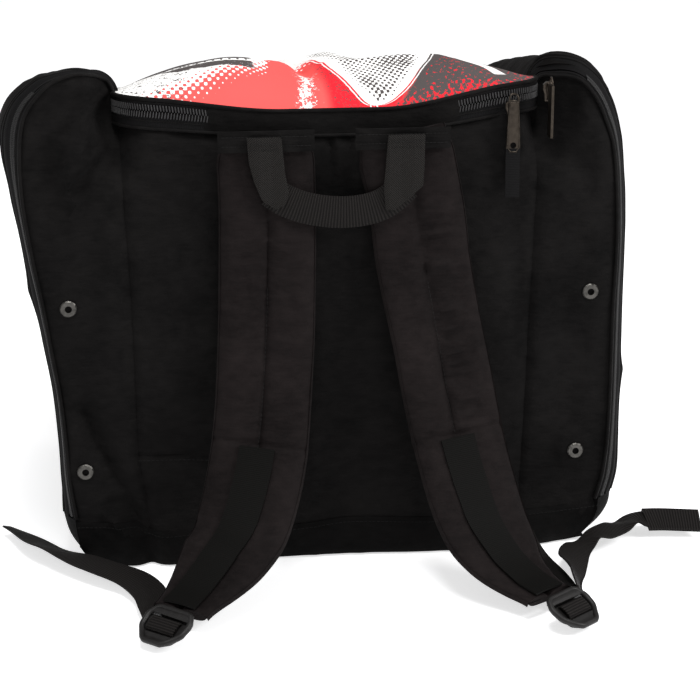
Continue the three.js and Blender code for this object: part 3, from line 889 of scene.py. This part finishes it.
# ---- base and dividers ----
def base():
    flat = join(np.linspace(-180, 184, 90), 0.2)
    inner, outer = (
        np.vstack([spread(left, 26), flat, spread(right[::-1], 26)])
        for right, left in (
            ([(217, 36), (216, 24), (210, 12), (200, 4), (187, 0.2)],
             [(-206, 38), (-204, 22), (-199, 10), (-192, 3), (-182, 0.2)]),
            ([(238, 34), (236, 20), (227, 8), (212, 2.5), (190, 0.2)],
             [(-217, 35), (-213, 18), (-206, 8), (-197, 2.5), (-184, 0.2)]),
        )
    )
    rings = []
    for y in 153.5 * crowded(70):
        ring = outer * fullness(y) + inner * (1 - fullness(y))
        slump = (rear_relief(join(ring[:, 0], 3.0)) + 1) * smooth(-100, -153, y) * smooth(10, 0, ring[:, 1])
        rise = 2.2 * np.clip((abs(y) - 147) / 6.5, 0, 1) ** 2
        rings.append(join(ring[:, 0], y - slump, np.maximum(ring[:, 1], rise)))
    grid = np.stack(rings, 1)
    grid[..., 2] += np.where(grid[..., 2] > 0.25, 0, 1) * (np.maximum(noise(grid, (60, 40, 50), 41), 0) * 0.5)
    belongs(shell("base_skin", grid, 3.2, BASE_CLOTH_SHADE_AND_DIRT, flip=True), "bag", "black_cloth", "base_panel")

    bottom = [(213.5, 14), (205, 5.5), (190, 1.6), (0, 1.0), (-184, 1.6), (-196, 5), (-203, 14)]
    loop = np.vstack([WRAP_LINE, spread(bottom, 120)])
    for face, way in FACES.items():
        def place(points, edge):
            x, z = points.T
            if way < 0:
                y = REAR_Y - rear_relief(points) - 2.0
            else:
                y = FRONT_Y + 1.4 + noise(join(x, 0, z), (60, 50, 40), 44) * 0.8
            turn = np.clip(1 - z / 14, 0, 1) ** 2
            y = y - way * (turn * 2.5 + smooth(186, 214, np.abs(x)) * 3.0) - way * 0.9 * hill(edge, 0, 1.4)
            return join(x, y, z), (0.0, -float(way), 0.0)

        obj = patch(f"base_wrap_skin_{face}", loop, place, 1.6, BASE_CLOTH_SHADE_AND_DIRT, step=3.6, flip=way > 0)
        belongs(obj, "bag", "black_cloth", f"base_wrap_{face}")
    sew("base_wrap_stitches", on_rear(WRAP_LINE - (0, 3.4), 2.35), TO_REAR, "bag")


def dividers():
    t, y = np.meshgrid(np.linspace(0, 1, 70), np.linspace(-147, 147, 60), indexing="ij")
    for side, sign in SIDES.items():
        x = (121 + 37.5 * t) * sign
        z = 5 + (np.minimum(340, edge_height(158.0, y) - 13) - 5) * t
        belly = noise(join(x, y, z), (50, 70, 80), 51) * 3 - 3 * np.sin(t * math.pi) * np.cos(y / 147 * math.pi / 2)
        x = x + belly * smooth(0, 0.1, t) * smooth(0, 0.1, 1 - t)
        tucked = np.maximum(y, -147 + recess(x, z) * 1.1 + 3 * smooth(200, 340, z))
        obj = shell(f"divider_cloth_{side}", join(x, tucked, z), 2.0, LINING)
        belongs(obj, "bag", "black_cloth", f"divider_{side}")


# ---- lid ----
# Share of the way round the lid, from the middle of the rear, at which the zip starts.
ZIP_START = 0.078


def lid_plan(count, out=0.0):
    """The lid's edge in plan, from the middle of the rear around the right, the front and the left."""
    w, rear, front = 165 + out, -153.5 - out, 152.5 + out
    rc, fc = 40 + out, 26 + out

    def corner(x, y, radius, start, steps):
        angles = np.radians(np.linspace(start, start + 90, steps))[1:]
        return [(x + radius * math.cos(a), y + radius * math.sin(a)) for a in angles]

    right = np.array(
        [(0, rear), (60, rear), (105, rear + 0.5), (w - rc, rear + 3)] + corner(w - rc, rear + 3 + rc, rc, -90, 8)
        + [(w, -60), (w, 40), (w, front - fc)] + corner(w - fc, front - fc, fc, 0, 7) + [(70, front), (0, front)])
    return even(spread(np.vstack([right, right[::-1][1:] * (-1, 1)]), 800), count)


def edge_height(x, y):
    """Height of the lid's lower edge, which dips across the rear and falls towards the front."""
    x, y = np.asarray(x, float), np.asarray(y, float)
    corner = np.where(x < 0, 10.5, 16.5) * smooth(38, 150, np.abs(x))
    droop = 0.10 * np.maximum(y + 30, 0) * (0.25 + 0.75 * smooth(40, 150, np.abs(x)))
    return 361.5 + corner * smooth(60, -130, y) - 9.5 * smooth(-140, 60, y) - droop


def lid_crown(x, y):
    """How far the padded lid rises above its edge."""
    u, v = np.clip(np.abs(x) / 165, 0, 1), np.clip(np.abs(y) / 153, 0, 1)
    swell = 21 * (1 - u ** 3.2) ** 0.9 * (1 - v ** 3.4) ** 0.8
    spot = join(x, y, 0)
    inner = smooth(0, 0.25, 1 - u) * smooth(0, 0.25, 1 - v)
    valley = -9.0 * hill(x + 0.10 * y, -17, 9) * smooth(-150, -20, y)
    peak = 6.5 * hill(x, 17, 17) * hill(y, 20, 70) + 2.5 * hill(x, -75, 40)
    fold = (creases(spot, (70, 110, 50), 61) - 0.4) * 3.4 + noise(spot, (34, 46, 50), 62) * 1.5
    return swell + (valley + peak + fold) * inner + noise(spot, (13, 17, 50), 63) * 0.35


def lid_band(t, drop, out):
    """A line below the lid's edge, with t from 0 to 1 around it."""
    x, y = sample(lid_plan(600, out), t).T
    deeper = 1 + 0.16 * smooth(60, 140, np.abs(x)) * smooth(0, -60, y)
    return join(x, y, edge_height(x, y) - drop * deeper)


def lid():
    plan = lid_plan(240)
    share = crowded(46, 0)[:, None]
    x, y = plan[:, 0] * share, plan[:, 1] * share
    z = edge_height(plan[:, 0], plan[:, 1]) * share + edge_height(0 * x, y) * (1 - share)
    z = z + lid_crown(x, y) * (1 - share ** 12)
    under = np.minimum(edge_height(x, y) - 1.5, z - 5)
    under = np.where(share > 0.97, z - 2.0, under)
    rings, count = z.shape
    sheet = grid_faces(rings, count, closed_cols=True)
    rim = [(rings - 1) * count + k for k in range(count)]
    faces = sheet + second_skin(sheet, z.size)
    faces += [(a, b, b + z.size, a + z.size) for a, b in zip(rim, rim[1:] + rim[:1])]
    verts = np.vstack([join(x, y, z).reshape(-1, 3), join(x, y, under).reshape(-1, 3)])
    obj = make("lid_top", verts, [f[::-1] for f in faces], PRINT, sharp=50)
    reworked(obj, bmesh.ops.remove_doubles, "verts", dist=1e-5)
    belongs(obj, "lid", "print_cloth", "lid")

    def beneath(points, edge):
        return np.column_stack([points, edge_height(*points.T) - 3.4]), (0.0, 0.0, 1.0)

    obj = turn_out(patch("lid_lining", lid_plan(160, -3.0), beneath, 0.8, LINING, step=7.0))
    belongs(obj, "lid", "black_cloth")

    # Binding along the lid's edge, and the zip's two tapes with the coil between them.
    around = np.linspace(0, 1, 420, endpoint=False)
    for name, drop, out, radius, body in (("lid_binding", 0.6, 0.6, 1.7, "lid"),
                                          ("lid_binding_lower", 19.6, 0.8, 1.3, "bag")):
        obj = tube(name, lid_band(around, drop, out), radius, BINDING, sides=10, closed=True)
        belongs(obj, body, "black_cloth")
    run = np.linspace(ZIP_START, 1 - ZIP_START, 420)
    for part, low, high, body in (("upper", 1.6, 7.6, "lid"), ("lower", 9.4, 18.8, "bag")):
        tape = np.stack([lid_band(run, d, 0.9) for d in np.linspace(low, high, 5)], 1)
        obj = shell(f"lid_tape_{part}", tape, 1.0, TAPE, flip=True)
        belongs(obj, body, "zip_tape", f"lid_zip_tape_{part}")
    for k, drop, body in ((0, 2.6, "lid"), (1, 14.6, "bag")):
        belongs(tube(f"lid_tape_rib_{k}", lid_band(run, drop, 1.1), 0.55, BINDING, sides=6), body, "zip_tape")

    def line(t, across):
        return lid_band(ZIP_START + t * (1 - 2 * ZIP_START), 8.2 - across, 1.6)

    for obj, body in zip(coil("lid_coil", line, 960, 2.1, 5.0, 2.2, COIL), ("lid", "bag")):
        belongs(obj, body, "zip_tape")
    reach = ZIP_START + 0.002
    half = np.concatenate([np.linspace(1 - reach, 1, 40), np.linspace(0, reach, 40)[1:]])
    drops = np.linspace(1.2, 19.2, 12)
    strip = np.stack([lid_band(half, d, 1.0 + 0.9 * math.sin(d / 19.5 * math.pi)) for d in drops], 1)
    strip[..., 1] += noise(strip, (40, 30, 12), 65) * 0.5
    belongs(shell("hinge_strip_cloth", strip, 2.2, BLACK, flip=True), "bag", "black_cloth", "lid_hinge_strip")


# ---- shoulder straps ----
STRAP_PATHS = {
    "left": [(-53, -171, 345), (-52, -173, 296), (-53, -175, 245), (-56, -184, 182), (-64, -203, 112),
             (-80, -231, 63), (-97, -250, 43), (-117, -271, 26), (-131, -290, 20)],
    "right": [(51, -171, 345), (62, -173, 294), (69, -175, 245), (81, -184, 182), (94, -203, 110),
              (106, -232, 61), (120, -256, 35), (134, -275, 22), (146, -293, 18)],
}
STRAP_SEAM = {"left": [0.05, 0.0, -0.02, -0.02], "right": [-0.05, -0.02, -0.1, -0.05]}
STRAP_ROWS = 230
SEWN_WIDTH = 27.5
SEWN_TOP = 0.62


def ribbon_frame(path):
    """Across and outward directions along a strap that turns as it lies down."""
    t = along(path)
    lying = np.maximum(-t[:, 1:2], 0)
    turned = unit(join(-t[:, 1], t[:, 0], 0))
    across = unit(np.concatenate([1 - lying, 0 * lying, 0 * lying], 1) + turned * lying)
    across = unit(across - t * (across * t).sum(1, keepdims=True))
    outward = np.cross(t, across)
    return across, outward * (-1 if outward[10, 1] > 0 else 1)


class Strap:
    """One padded shoulder strap; t runs from 0 at its head to 1 at its lock."""

    def __init__(self, side):
        self.side, self.sign, self.body = side, SIDES[side], f"strap_{side}"
        self.path = spread(STRAP_PATHS[side], STRAP_ROWS)
        self.length = path_length(self.path)
        self.across, self.outward = ribbon_frame(self.path)
        t = self.t = np.linspace(0, 1, STRAP_ROWS)
        width = 75 - 28 * smooth(0.82, 1, t)
        width = width * (1 + 0.012 * noise(join(t * 300, 0, self.sign * 50), 40, 71))
        self.width = width * (1 - 0.10 * smooth(0.06, 0.0, t))
        self.thick = 10.0 - 1.5 * smooth(0.8, 1, t) - 5.0 * smooth(0.05, 0.0, t)
        self.seam = np.interp(t, [0, 0.3, 0.62, 1], STRAP_SEAM[side])

    def row(self, a, h, narrow=1.0):
        """A line along the strap at a from -1 to 1 across it and at height h."""
        return self.path + self.across * (a * self.width / 2 * narrow)[:, None] + self.outward * h[:, None]

    def top(self, a):
        """Height of the padded face: the seam's groove, folds beside it and gathers."""
        t, s = self.t, join(a * self.width / 2 + 400 * self.sign, self.t * self.length, 0)
        d = (a - self.seam) * self.width / 2
        h = self.thick * ((1 - abs(a) ** 5) ** 0.55 - 1) * 0.8 - 1.6 * hill(t, 0.612, 0.006)
        h -= (3.0 * hill(d, 0, 2) + 1.5 * hill(d, 0, 8)) * smooth(0.0, 0.05, t)
        long = noise(s, (30, 60, 50), 72) * 1.3 + noise(s, (12, 22, 50), 73) * 0.6
        fold = 0.6 * creases(s, (34, 15, 50), 74) + 0.4 * creases(s, (24, 7.5, 50), 78) - 0.5
        fold = fold * smooth(0, 0.25, 1 - abs(a)) * hill(np.maximum(np.abs(d) - 6, 0), 0, 22)
        if self.sign > 0:
            amount = 3.6 * (1.4 if a > 0 else 0.35)
        else:
            amount = 1.8 * (0.8 if a < 0 else 1.1)
        amount = amount * (smooth(0.05, 0.2, t) * smooth(0.75, 0.5, t) + 0.25)
        pucker = np.sin(t * self.length / 3.1) * 0.22 * hill(np.maximum(np.abs(d) - 2, 0), 0, 3.5)
        return h + (long + fold * amount + pucker) * min(1, 4 * (1 - abs(a)))

    def back(self, a):
        """Height of the face towards the back."""
        s = join(a * self.width / 2 + 400 * self.sign, self.t * self.length, 90)
        return -self.thick * (0.2 + 0.8 * (1 - abs(a) ** 6) ** 0.5) + noise(s, (24, 40, 50), 75) * 0.5

    def beside_seam(self, share, b):
        """Where a point of the sewn webbing, b from -1 to 1 across it, lies across the strap."""
        return b * SEWN_WIDTH / np.interp(share, self.t, self.width) + np.interp(share, self.t, self.seam)

    def on(self, share, a, lift):
        width = np.interp(share, self.t, self.width)
        across = sample(self.across, share) * (a * width / 2)[..., None]
        return sample(self.path, share) + across + unit(sample(self.outward, share)) * lift

    def sew(self, name, share, a, lift, outward=None, **options):
        out = unit(sample(self.outward, share)) if outward is None else outward
        sew(f"{name}_{self.side}", self.on(share, a, lift), out, self.body, **options)


def padded_strap(strap):
    faces_out = crowded(41)
    lines = [strap.row(a, strap.top(a)) for a in faces_out]
    lines += [strap.row(a, strap.back(a), 0.985) for a in faces_out[::-1][2:-2:2]]
    grid = np.stack(lines, 1)
    rows, cols, _ = grid.shape
    verts = grid.reshape(-1, 3)
    faces = grid_faces(rows, cols, closed_cols=True)
    faces += [tuple(range(cols))[::-1], tuple(range((rows - 1) * cols, rows * cols))]
    uv = join(np.repeat(strap.t * strap.length, cols), np.tile(np.arange(cols), rows))
    obj = make(f"padded_strap_{strap.side}", verts, orient(verts, faces), STRAP, uv, sharp=70)
    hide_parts(f"strap_head_{strap.side}", f"shoulder_strap_{strap.side}")
    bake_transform(obj)


def straps():
    for side in SIDES:
        strap = Strap(side)
        padded_strap(strap)
        # Centre seam stitches, sewn webbing and its rows of stitching.
        run = np.linspace(0.30, SEWN_TOP, 60)
        strap.sew("strap_seam_lower", run, np.interp(run, strap.t, strap.seam), -2.2)
        run = np.linspace(SEWN_TOP, 1.0, 90)
        surf = np.stack([strap.on(run, strap.beside_seam(run, b), 0.9 + 0.5 * (1 - b * b) * 0.6)
                         for b in np.linspace(-1, 1, 13)], 1)
        surf = surf + noise(surf, (18, 18, 18), 76)[..., None] * 0.35
        obj = turn_out(shell(f"sewn_webbing_{side}", surf, 1.5, SEWN, flip=True))
        belongs(obj, strap.body, "webbing", f"strap_webbing_{side}")
        roll = strap.on(np.full(24, SEWN_TOP + 0.002), strap.beside_seam(SEWN_TOP, np.linspace(-1, 1, 24)), 1.2)
        belongs(tube(f"webbing_fold_{side}", roll, 1.3, SEWN, sides=10), strap.body, "webbing")
        for name, b in (("a", -0.88), ("b", 0.88)):
            strap.sew(f"webbing_stitches_{name}", run, strap.beside_seam(run, b), 1.25)
        for name, share in (("top", 0.632), ("middle", 0.80), ("low", 0.93)):
            a = strap.beside_seam(share, np.linspace(-0.9, 0.9, 12))
            for n, more in ((1, 0.0), (2, 0.006)):
                strap.sew(f"webbing_cross_{name}{n}", np.full(12, share + more), a, 1.75,
                          outward=strap.outward[int(share * STRAP_ROWS)], pitch=2.6, length=2.0)

        # The folded top of the strap under its tab.
        x0 = STRAP_PATHS[side][0][0]
        x, z = np.meshgrid(np.linspace(-36.5, 36.5, 30) + x0, np.linspace(349.5, 333.5, 14))
        out = 174.6 + 0.5 * (noise(join(x, 0, z), (12, 9, 9), 77) - hill(z, 338, 1.2) - hill(z, 345, 1.2))
        out = out - 1.2 * smooth(32, 37, np.abs(x - x0))
        obj = turn_out(shell(f"strap_top_{side}", join(x, -out, z), 1.6, BLACK))
        belongs(obj, "bag", "black_cloth", f"strap_tab_{side}")
        for k, z in enumerate((338, 345)):
            line = join(np.linspace(x0 - 34, x0 + 34, 30), -174.5, z)
            sew(f"strap_top_stitches_{side}_{k}", line, TO_REAR, "bag", pitch=2.9)


# ---- webbing ----
TAIL_WIDTH = 25
TAILS = {
    "left": [(-146, -282, 11), (-149, -257, 10), (-153, -233, 10), (-165, -210, 11), (-186, -191, 13),
             (-209, -166, 13), (-230, -140, 12), (-249, -113, 11), (-267, -84, 9)],
    "right": [(171, -292, 12), (175, -263, 10), (179, -234, 10), (186, -207, 12), (199, -188, 13),
              (215, -174, 13), (232, -161, 13), (252, -147, 13), (274, -147, 12), (305, -152, 11)],
}
ANCHORS = {
    "left": [(-107, -161, 15), (-108, -173, 9), (-112, -197, 3.2), (-123, -230, 2.6), (-133, -258, 3.6),
             (-140, -288, 7)],
    "right": [(150, -163, 15), (152, -174, 9), (157, -197, 3.2), (163, -230, 2.6), (164, -256, 3.6), (160, -292, 7)],
}


def flat_webbing(name, path, width, thickness, tip, body, *nodes, pointed=0.0, wave=0.5, count=110):
    """A loose strip of webbing that lies flat and is tipped up by an angle that varies along it."""
    p = spread(path, count)
    t = np.linspace(0, 1, count)
    lift = (tip(t) + 0 * t)[:, None]
    ahead = along(p)
    flat = unit(np.cross([0.0, 0.0, 1.0], ahead))
    across = unit(flat * np.cos(lift) + np.cross(ahead, flat) * np.sin(lift))
    outward = np.cross(ahead, across)
    surf = []
    for b in np.linspace(-1, 1, 9):
        narrow = 1 - pointed * smooth(0.72, 1.0, t) * (1 if b > 0 else 0.45)
        surf.append(p + across * (b * width / 2 * narrow)[:, None] + outward * (0.4 * (1 - b * b)))
    surf = np.stack(surf, 1)
    surf = surf + noise(surf, (30, 30, 30), 81)[..., None] * wave * unit(outward)[:, None, :]
    surf[..., 2] = np.maximum(surf[..., 2], thickness + 0.3)
    uv = uv_grid(t * path_length(p), np.linspace(0, width, 9))
    return belongs(turn_out(shell(name, surf, thickness, WEBBING, uv=uv)), body, "webbing", *nodes)


def left_tip(t):
    return -0.1 - 0.12 * np.sin(t * 9) + 0.46 * smooth(0.5, 0.72, t)


def right_tip(t):
    turn = 1.2 - 1.15 * smooth(0.15, 0.42, t) + 0.22 * smooth(0.75, 0.87, t)
    return turn - 0.42 * hill(t, 0.5, 0.05) - 0.33 * hill(t, 0.72, 0.04)


def loose_webbing():
    left, right = (
        flat_webbing(f"tail_{side}", path, TAIL_WIDTH, 1.3, tip, f"strap_{side}", f"webbing_tail_{side}", pointed=point)
        for (side, path), tip, point in zip(TAILS.items(), (left_tip, right_tip), (0.9, 0.0))
    )
    path = [(261, -147.5, 13.6), (274, -147.5, 13.2), (290, -149.6, 12.7), (306.2, -152.2, 12.2)]
    hem = flat_webbing("tail_hem", path, 26.4, 3.0, lambda t: 0.30, "strap_right", wave=0.2, count=40)
    for side, path in ANCHORS.items():
        flat_webbing(f"anchor_{side}", path, 25, 1.4, lambda t: 0.0, "bag", f"anchor_webbing_{side}")


LOCKS = {"left": ((-143, -311, 14), (-0.68, -0.73)), "right": ((158, -319, 14), (0.62, -0.78))}
LOCK_SLOPE = math.pi / 6
LOCK_HALF = [(13.5, 16), (16.5, 14.8), (20.5, 8), (21, 4.5), (20, -3.5), (18.5, -6), (11.5, -14.5), (8, -16.8)]
LOCK_OUTLINE = [(-13.5, 16)] + LOCK_HALF + [(-x, y) for x, y in LOCK_HALF[::-1]]
LOCK_WRAP = [(15, -5.2), (9.5, -4.6), (6.9, -2.6), (6.4, 0.4), (5.4, 2.6), (3, 3.3), (0, 3.5), (-3, 3.3), (-5.6, 2.6),
             (-6.6, 0.4), (-6.4, -2.4), (-4, -4.2), (3, -4.4)]


def on_lock(side, points):
    """Points given across, along and out of a ladder lock, moved to where the lock lies."""
    centre, heading = LOCKS[side]
    turn = math.atan2(heading[0], -heading[1])
    x, ahead, out = np.moveaxis(np.asarray(points, float), -1, 0)
    y = ahead * math.cos(LOCK_SLOPE) - out * math.sin(LOCK_SLOPE)
    z = ahead * math.sin(LOCK_SLOPE) + out * math.cos(LOCK_SLOPE)
    return join(x * math.cos(turn) - y * math.sin(turn), x * math.sin(turn) + y * math.cos(turn), z) + centre


def locks():
    """Ladder locks: a frame, an upper bar, a lower lip and webbing wrapped over the middle bar."""
    rim = even(LOCK_OUTLINE, 91)[:-1] * 0.93
    run = spread(LOCK_WRAP, 70)
    for side in SIDES:
        body = f"ladder_lock_{side}"
        path = join(rim[:, 0], rim[:, 1], 0.6 + 1.2 * smooth(-6, -18, rim[:, 1] / 0.93))
        obj = tube(f"lock_frame_{side}", on_lock(side, path), 2.3, PLASTIC, sides=12, closed=True)
        belongs(obj, body, "black_plastic", body)
        for name, low, high, bow, thickness in (
            ("bar", 7.6, 15.4, lambda y: 1.9 + 0.8 * hill(y, 11, 3.0), 3.6),
            ("middle", -7.6, 7.6, lambda y: -0.2, 1.8),
            ("lip", -16.2, -7.2, lambda y: 2.0 + 1.0 * smooth(-10, -16, y) - 0.6 * hill(y, -11, 2), 4.0),
        ):
            loop = [tuple(q) for q in rim if low <= q[1] <= high]
            loop.sort(key=lambda q: math.atan2(q[1] - (low + high) / 2, q[0]))

            def place(points, edge):
                x, y = points.T
                outer = join(x, y, bow(y) - 0.5 * hill(edge, 0, 0.9))
                return on_lock(side, outer), on_lock(side, [0, 0, -1.0]) - LOCKS[side][0]

            obj = turn_out(patch(f"lock_{name}_{side}", loop, place, thickness, PLASTIC, step=1.3))
            belongs(obj, body, "black_plastic")
        surf = np.stack([join(x, run[:, 0], run[:, 1] + 0.25 * (1 - (x / 12.5) ** 2))
                         for x in np.linspace(-12.5, 12.5, 9)], 1)
        uv = uv_grid(np.linspace(0, path_length(run), 70), np.linspace(0, 25, 9))
        obj = shell(f"lock_webbing_{side}", on_lock(side, surf), 1.2, WEBBING, uv=uv)
        belongs(turn_out(obj), body, "webbing")


# ---- grab handle ----
HANDLE_LINE = [(-50, 304), (-40, 297), (-27, 291.5), (-12, 288), (4, 286.5), (20, 287.5), (33, 291), (43, 297),
               (53, 306)]
HANDLE_LEGS = {
    "left": [(-68, 345), (-42, 345), (-39.5, 318), (-36.5, 303), (-40, 293.5), (-47, 290), (-57, 297.5),
             (-63, 312), (-66.5, 326)],
    "right": [(39, 345), (67, 345), (66.5, 322), (65.5, 306), (55, 296), (44, 287.5), (37, 287.5), (35.5, 305),
              (37, 322)],
}


def handle():
    p = spread([(x, -176.2, z) for x, z in HANDLE_LINE], 90)
    across = unit(np.cross(along(p), TO_FRONT))
    surf = np.stack([p + across * b * 12.2 + np.array([0, -0.9 * (1 - b * b), 0]) for b in np.linspace(-1, 1, 11)], 1)
    surf = surf + noise(surf, (22, 22, 22), 85)[..., None] * np.array([0, 0.4, 0])
    uv = uv_grid(np.linspace(0, path_length(p), 90), np.linspace(0, 24, 11))
    obj = turn_out(shell("handle_loop", surf, 1.5, WEBBING, uv=uv))
    belongs(obj, "grab_handle", "webbing", "grab_handle")

    def place(points, edge):
        x, z = points.T
        out = 179.4 + noise(join(x, 0, z), (16, 10, 22), 86) * 0.5 - 0.5 * hill(edge, 0, 1.2)
        return join(x, 1.2 * smooth(318, 344, z) - out, z), TO_FRONT

    for side, loop in HANDLE_LEGS.items():
        obj = patch(f"handle_leg_{side}", loop, place, 1.5, TWILL, step=1.8)
        set_uv(obj.data, np.array([(v.co.z, v.co.x) for v in obj.data.vertices]))
        belongs(obj, "grab_handle", "webbing")
        for k, z in enumerate((340, 336)):
            line = join(np.linspace(loop[0][0] + 2, loop[1][0] - 2, 12), -178.9, z)
            sew(f"handle_stitches_{side}_{k}", line, TO_REAR, "grab_handle", pitch=2.6, length=2.0)


# ---- sliders, pulls and eyelets ----
def finish_metal(name, material, width, segments):
    """Gives a CAD node its metal and rounded edges."""
    node = NODES[name]
    node.data.materials.clear()
    node.data.materials.append(material)
    bevel = node.modifiers.new("rounded", "BEVEL")
    bevel.width = width * MM
    bevel.segments = segments
    bevel.limit_method = "ANGLE"


def box_mm(name):
    return (np.array(corner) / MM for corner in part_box(name))


def slider(name, pull, way):
    """A zip slider: a plate, the bridge over it and the wire that holds its pull."""
    low, high = box_mm(name)
    x, half = (low[0] + high[0]) / 2, max((high[0] - low[0]) / 2, 4.2)
    z0, z1 = low[2], high[2]
    inner, outer = (high[1], low[1]) if way < 0 else (low[1], high[1])
    tall, depth = z1 - z0, abs(outer - inner) * 0.55
    right = [(0.62, z0), (0.72, z0 + tall * 0.4), (1, z0 + tall * 0.62), (0.95, z1 - 2.2), (0.4, z1)]
    loop = [(x - half * 0.62, z0)] + [(x + half * a, z) for a, z in right]
    loop += [(x - half * a, z) for a, z in right[:0:-1]]

    def place(points, edge):
        px, pz = points.T
        y = inner + way * (depth - 0.9 * hill(edge, 0, 0.7) - 0.4 * hill(px, x, 1.6))
        return join(px, y, pz), (0.0, -float(way), 0.0)

    obj = patch(f"{name}_plate", loop, place, depth - 0.3, GUNMETAL, step=0.8, flip=way > 0)
    belongs(obj, name, "dark_metal", name)
    foot = inner + way * (depth - 0.3)
    bow = [(x, foot, z0 + 1.5), (x, outer - way * 0.7, z0 + tall * 0.3), (x, outer - way * 0.55, z0 + tall * 0.72),
           (x, foot, z1 - 1.2)]
    belongs(tube(f"{name}_bridge", spread(bow, 24), 1.05, GUNMETAL, sides=10), name, "dark_metal")
    low, high = box_mm(pull)
    top, px = high[2], (low[0] + high[0]) / 2
    if high[0] - low[0] > 5:
        y = (low[1] + high[1]) / 2
        ring = [(px + a, y - way * out, top + up) for a, out, up in (
            (-3.4, 0, -3), (-3.6, 0, 1.5), (-2.2, 0.8, 4.6), (0, 1.2, 5.4),
            (2.2, 0.8, 4.6), (3.6, 0, 1.5), (3.4, 0, -3))]
        bottom = low[2]
        rim = [(px + a, low[1] if way < 0 else high[1], z) for a, z in (
            (-3.3, top - 1), (3.3, top - 1), (4.6, top - 22), (4.7, bottom + 4.6), (2.2, bottom + 1),
            (-2.2, bottom + 1), (-4.7, bottom + 4.6), (-4.6, top - 22), (-3.3, top - 1))]
        obj = tube(f"{pull}_rim", even(rim, 60)[:-1], 0.55, GUNMETAL, sides=6, closed=True)
        belongs(obj, pull, "dark_metal")
    else:
        y = high[1] - 4.5
        ring = [(px, y + b, top + up) for b, up in (
            (-3.4, -3), (-3.8, 1.5), (-2, 4.6), (0, 5.6), (2, 4.6), (3.6, 1.5), (3.4, -3))]
    belongs(tube(f"{pull}_wire", spread(ring, 40), 0.75, GUNMETAL), pull, "dark_metal")


def fittings():
    for end, way in (("lid_{}_rear", -1), ("lid_{}_side", -1), ("door_{}_left", 1), ("door_{}_right", 1)):
        slider(end.format("slider"), end.format("pull"), way)
        finish_metal(end.format("pull"), GUNMETAL, 0.5, 3)
    (x0, y0, z0), (x1, y1, z1) = box_mm("lid_pull_tab")
    z, b = np.meshgrid(np.linspace(z1 + 4, z0, 40), np.linspace(-1, 1, 9), indexing="ij")
    y = (y0 + y1) / 2 - 1.0 - 0.3 * (1 - b * b) + 0.5 * np.sin(z / 7)
    obj = turn_out(shell("pull_tab_cloth", join((x0 + x1) / 2 + b * (x1 - x0) / 2, y, z), 1.4, TAPE))
    belongs(obj, "lid_pull_rear", "webbing", "lid_pull_tab")
    for side in SIDES:
        for row in ("upper", "lower"):
            for kind in ("eyelet", "eyelet_washer"):
                finish_metal(f"{kind}_{side}_{row}", NICKEL, 0.35, 2)


for build in (rear_panels, front_panels, doors, base, dividers, lid, straps, loose_webbing, locks, handle, fittings,
              top_tapes):
    build()


# ---- floor, light and camera ----
def aimed(name, data, place, aim):
    """An object at a place that looks at a point."""
    obj = bpy.data.objects.new(name, data)
    bpy.context.scene.collection.objects.link(obj)
    obj.location = place
    obj.rotation_mode = "QUATERNION"
    obj.rotation_quaternion = (Vector(aim) - Vector(place)).to_track_quat("-Z", "Y")
    return obj


def stage():
    pale = Paint("pale_floor", (0.82, 0.82, 0.83), 0.9, specular=0.1)
    pale.relief(pale.noise(pale.axes(pale.place), 4.0, 3.0), 0.03)
    pale.shader.inputs["Emission Color"].default_value = (1, 1, 1, 1)
    pale.shader.inputs["Emission Strength"].default_value = 0.62
    far, z = 6000, -0.3
    corners = [(-far, -far, z), (far, -far, z), (far, far, z), (-far, far, z)]
    make("floor", corners, [(0, 1, 2, 3)], pale.material, sharp=0)
    world = bpy.data.worlds.new("studio")
    world.use_nodes = True
    background = world.node_tree.nodes["Background"]
    background.inputs[0].default_value = (1, 1, 1, 1)
    background.inputs[1].default_value = 0.42
    bpy.context.scene.world = world
    bpy.context.scene.view_settings.view_transform = "Standard"
    for name, place, size, power in (("key", (1.7, -1.1, 1.5), 0.8, 34), ("fill", (-1.8, -1.2, 1.2), 1.0, 7),
                                     ("top", (-0.1, -0.75, 2.3), 0.8, 30)):
        lamp = bpy.data.lights.new(name, "AREA")
        lamp.shape = "DISK"
        lamp.size = size
        lamp.energy = power
        aimed(name, lamp, place, (0, 0, 0.2))
    lens = bpy.data.cameras.new("photo_camera")
    lens.lens = 98.9
    lens.sensor_width = 36
    lens.clip_start = 0.05
    lens.clip_end = 50
    bpy.context.scene.camera = aimed("photo_camera", lens, (-0.1766, -1.5931, 0.6002), (0.0127, -0.155, 0.1709))


stage()
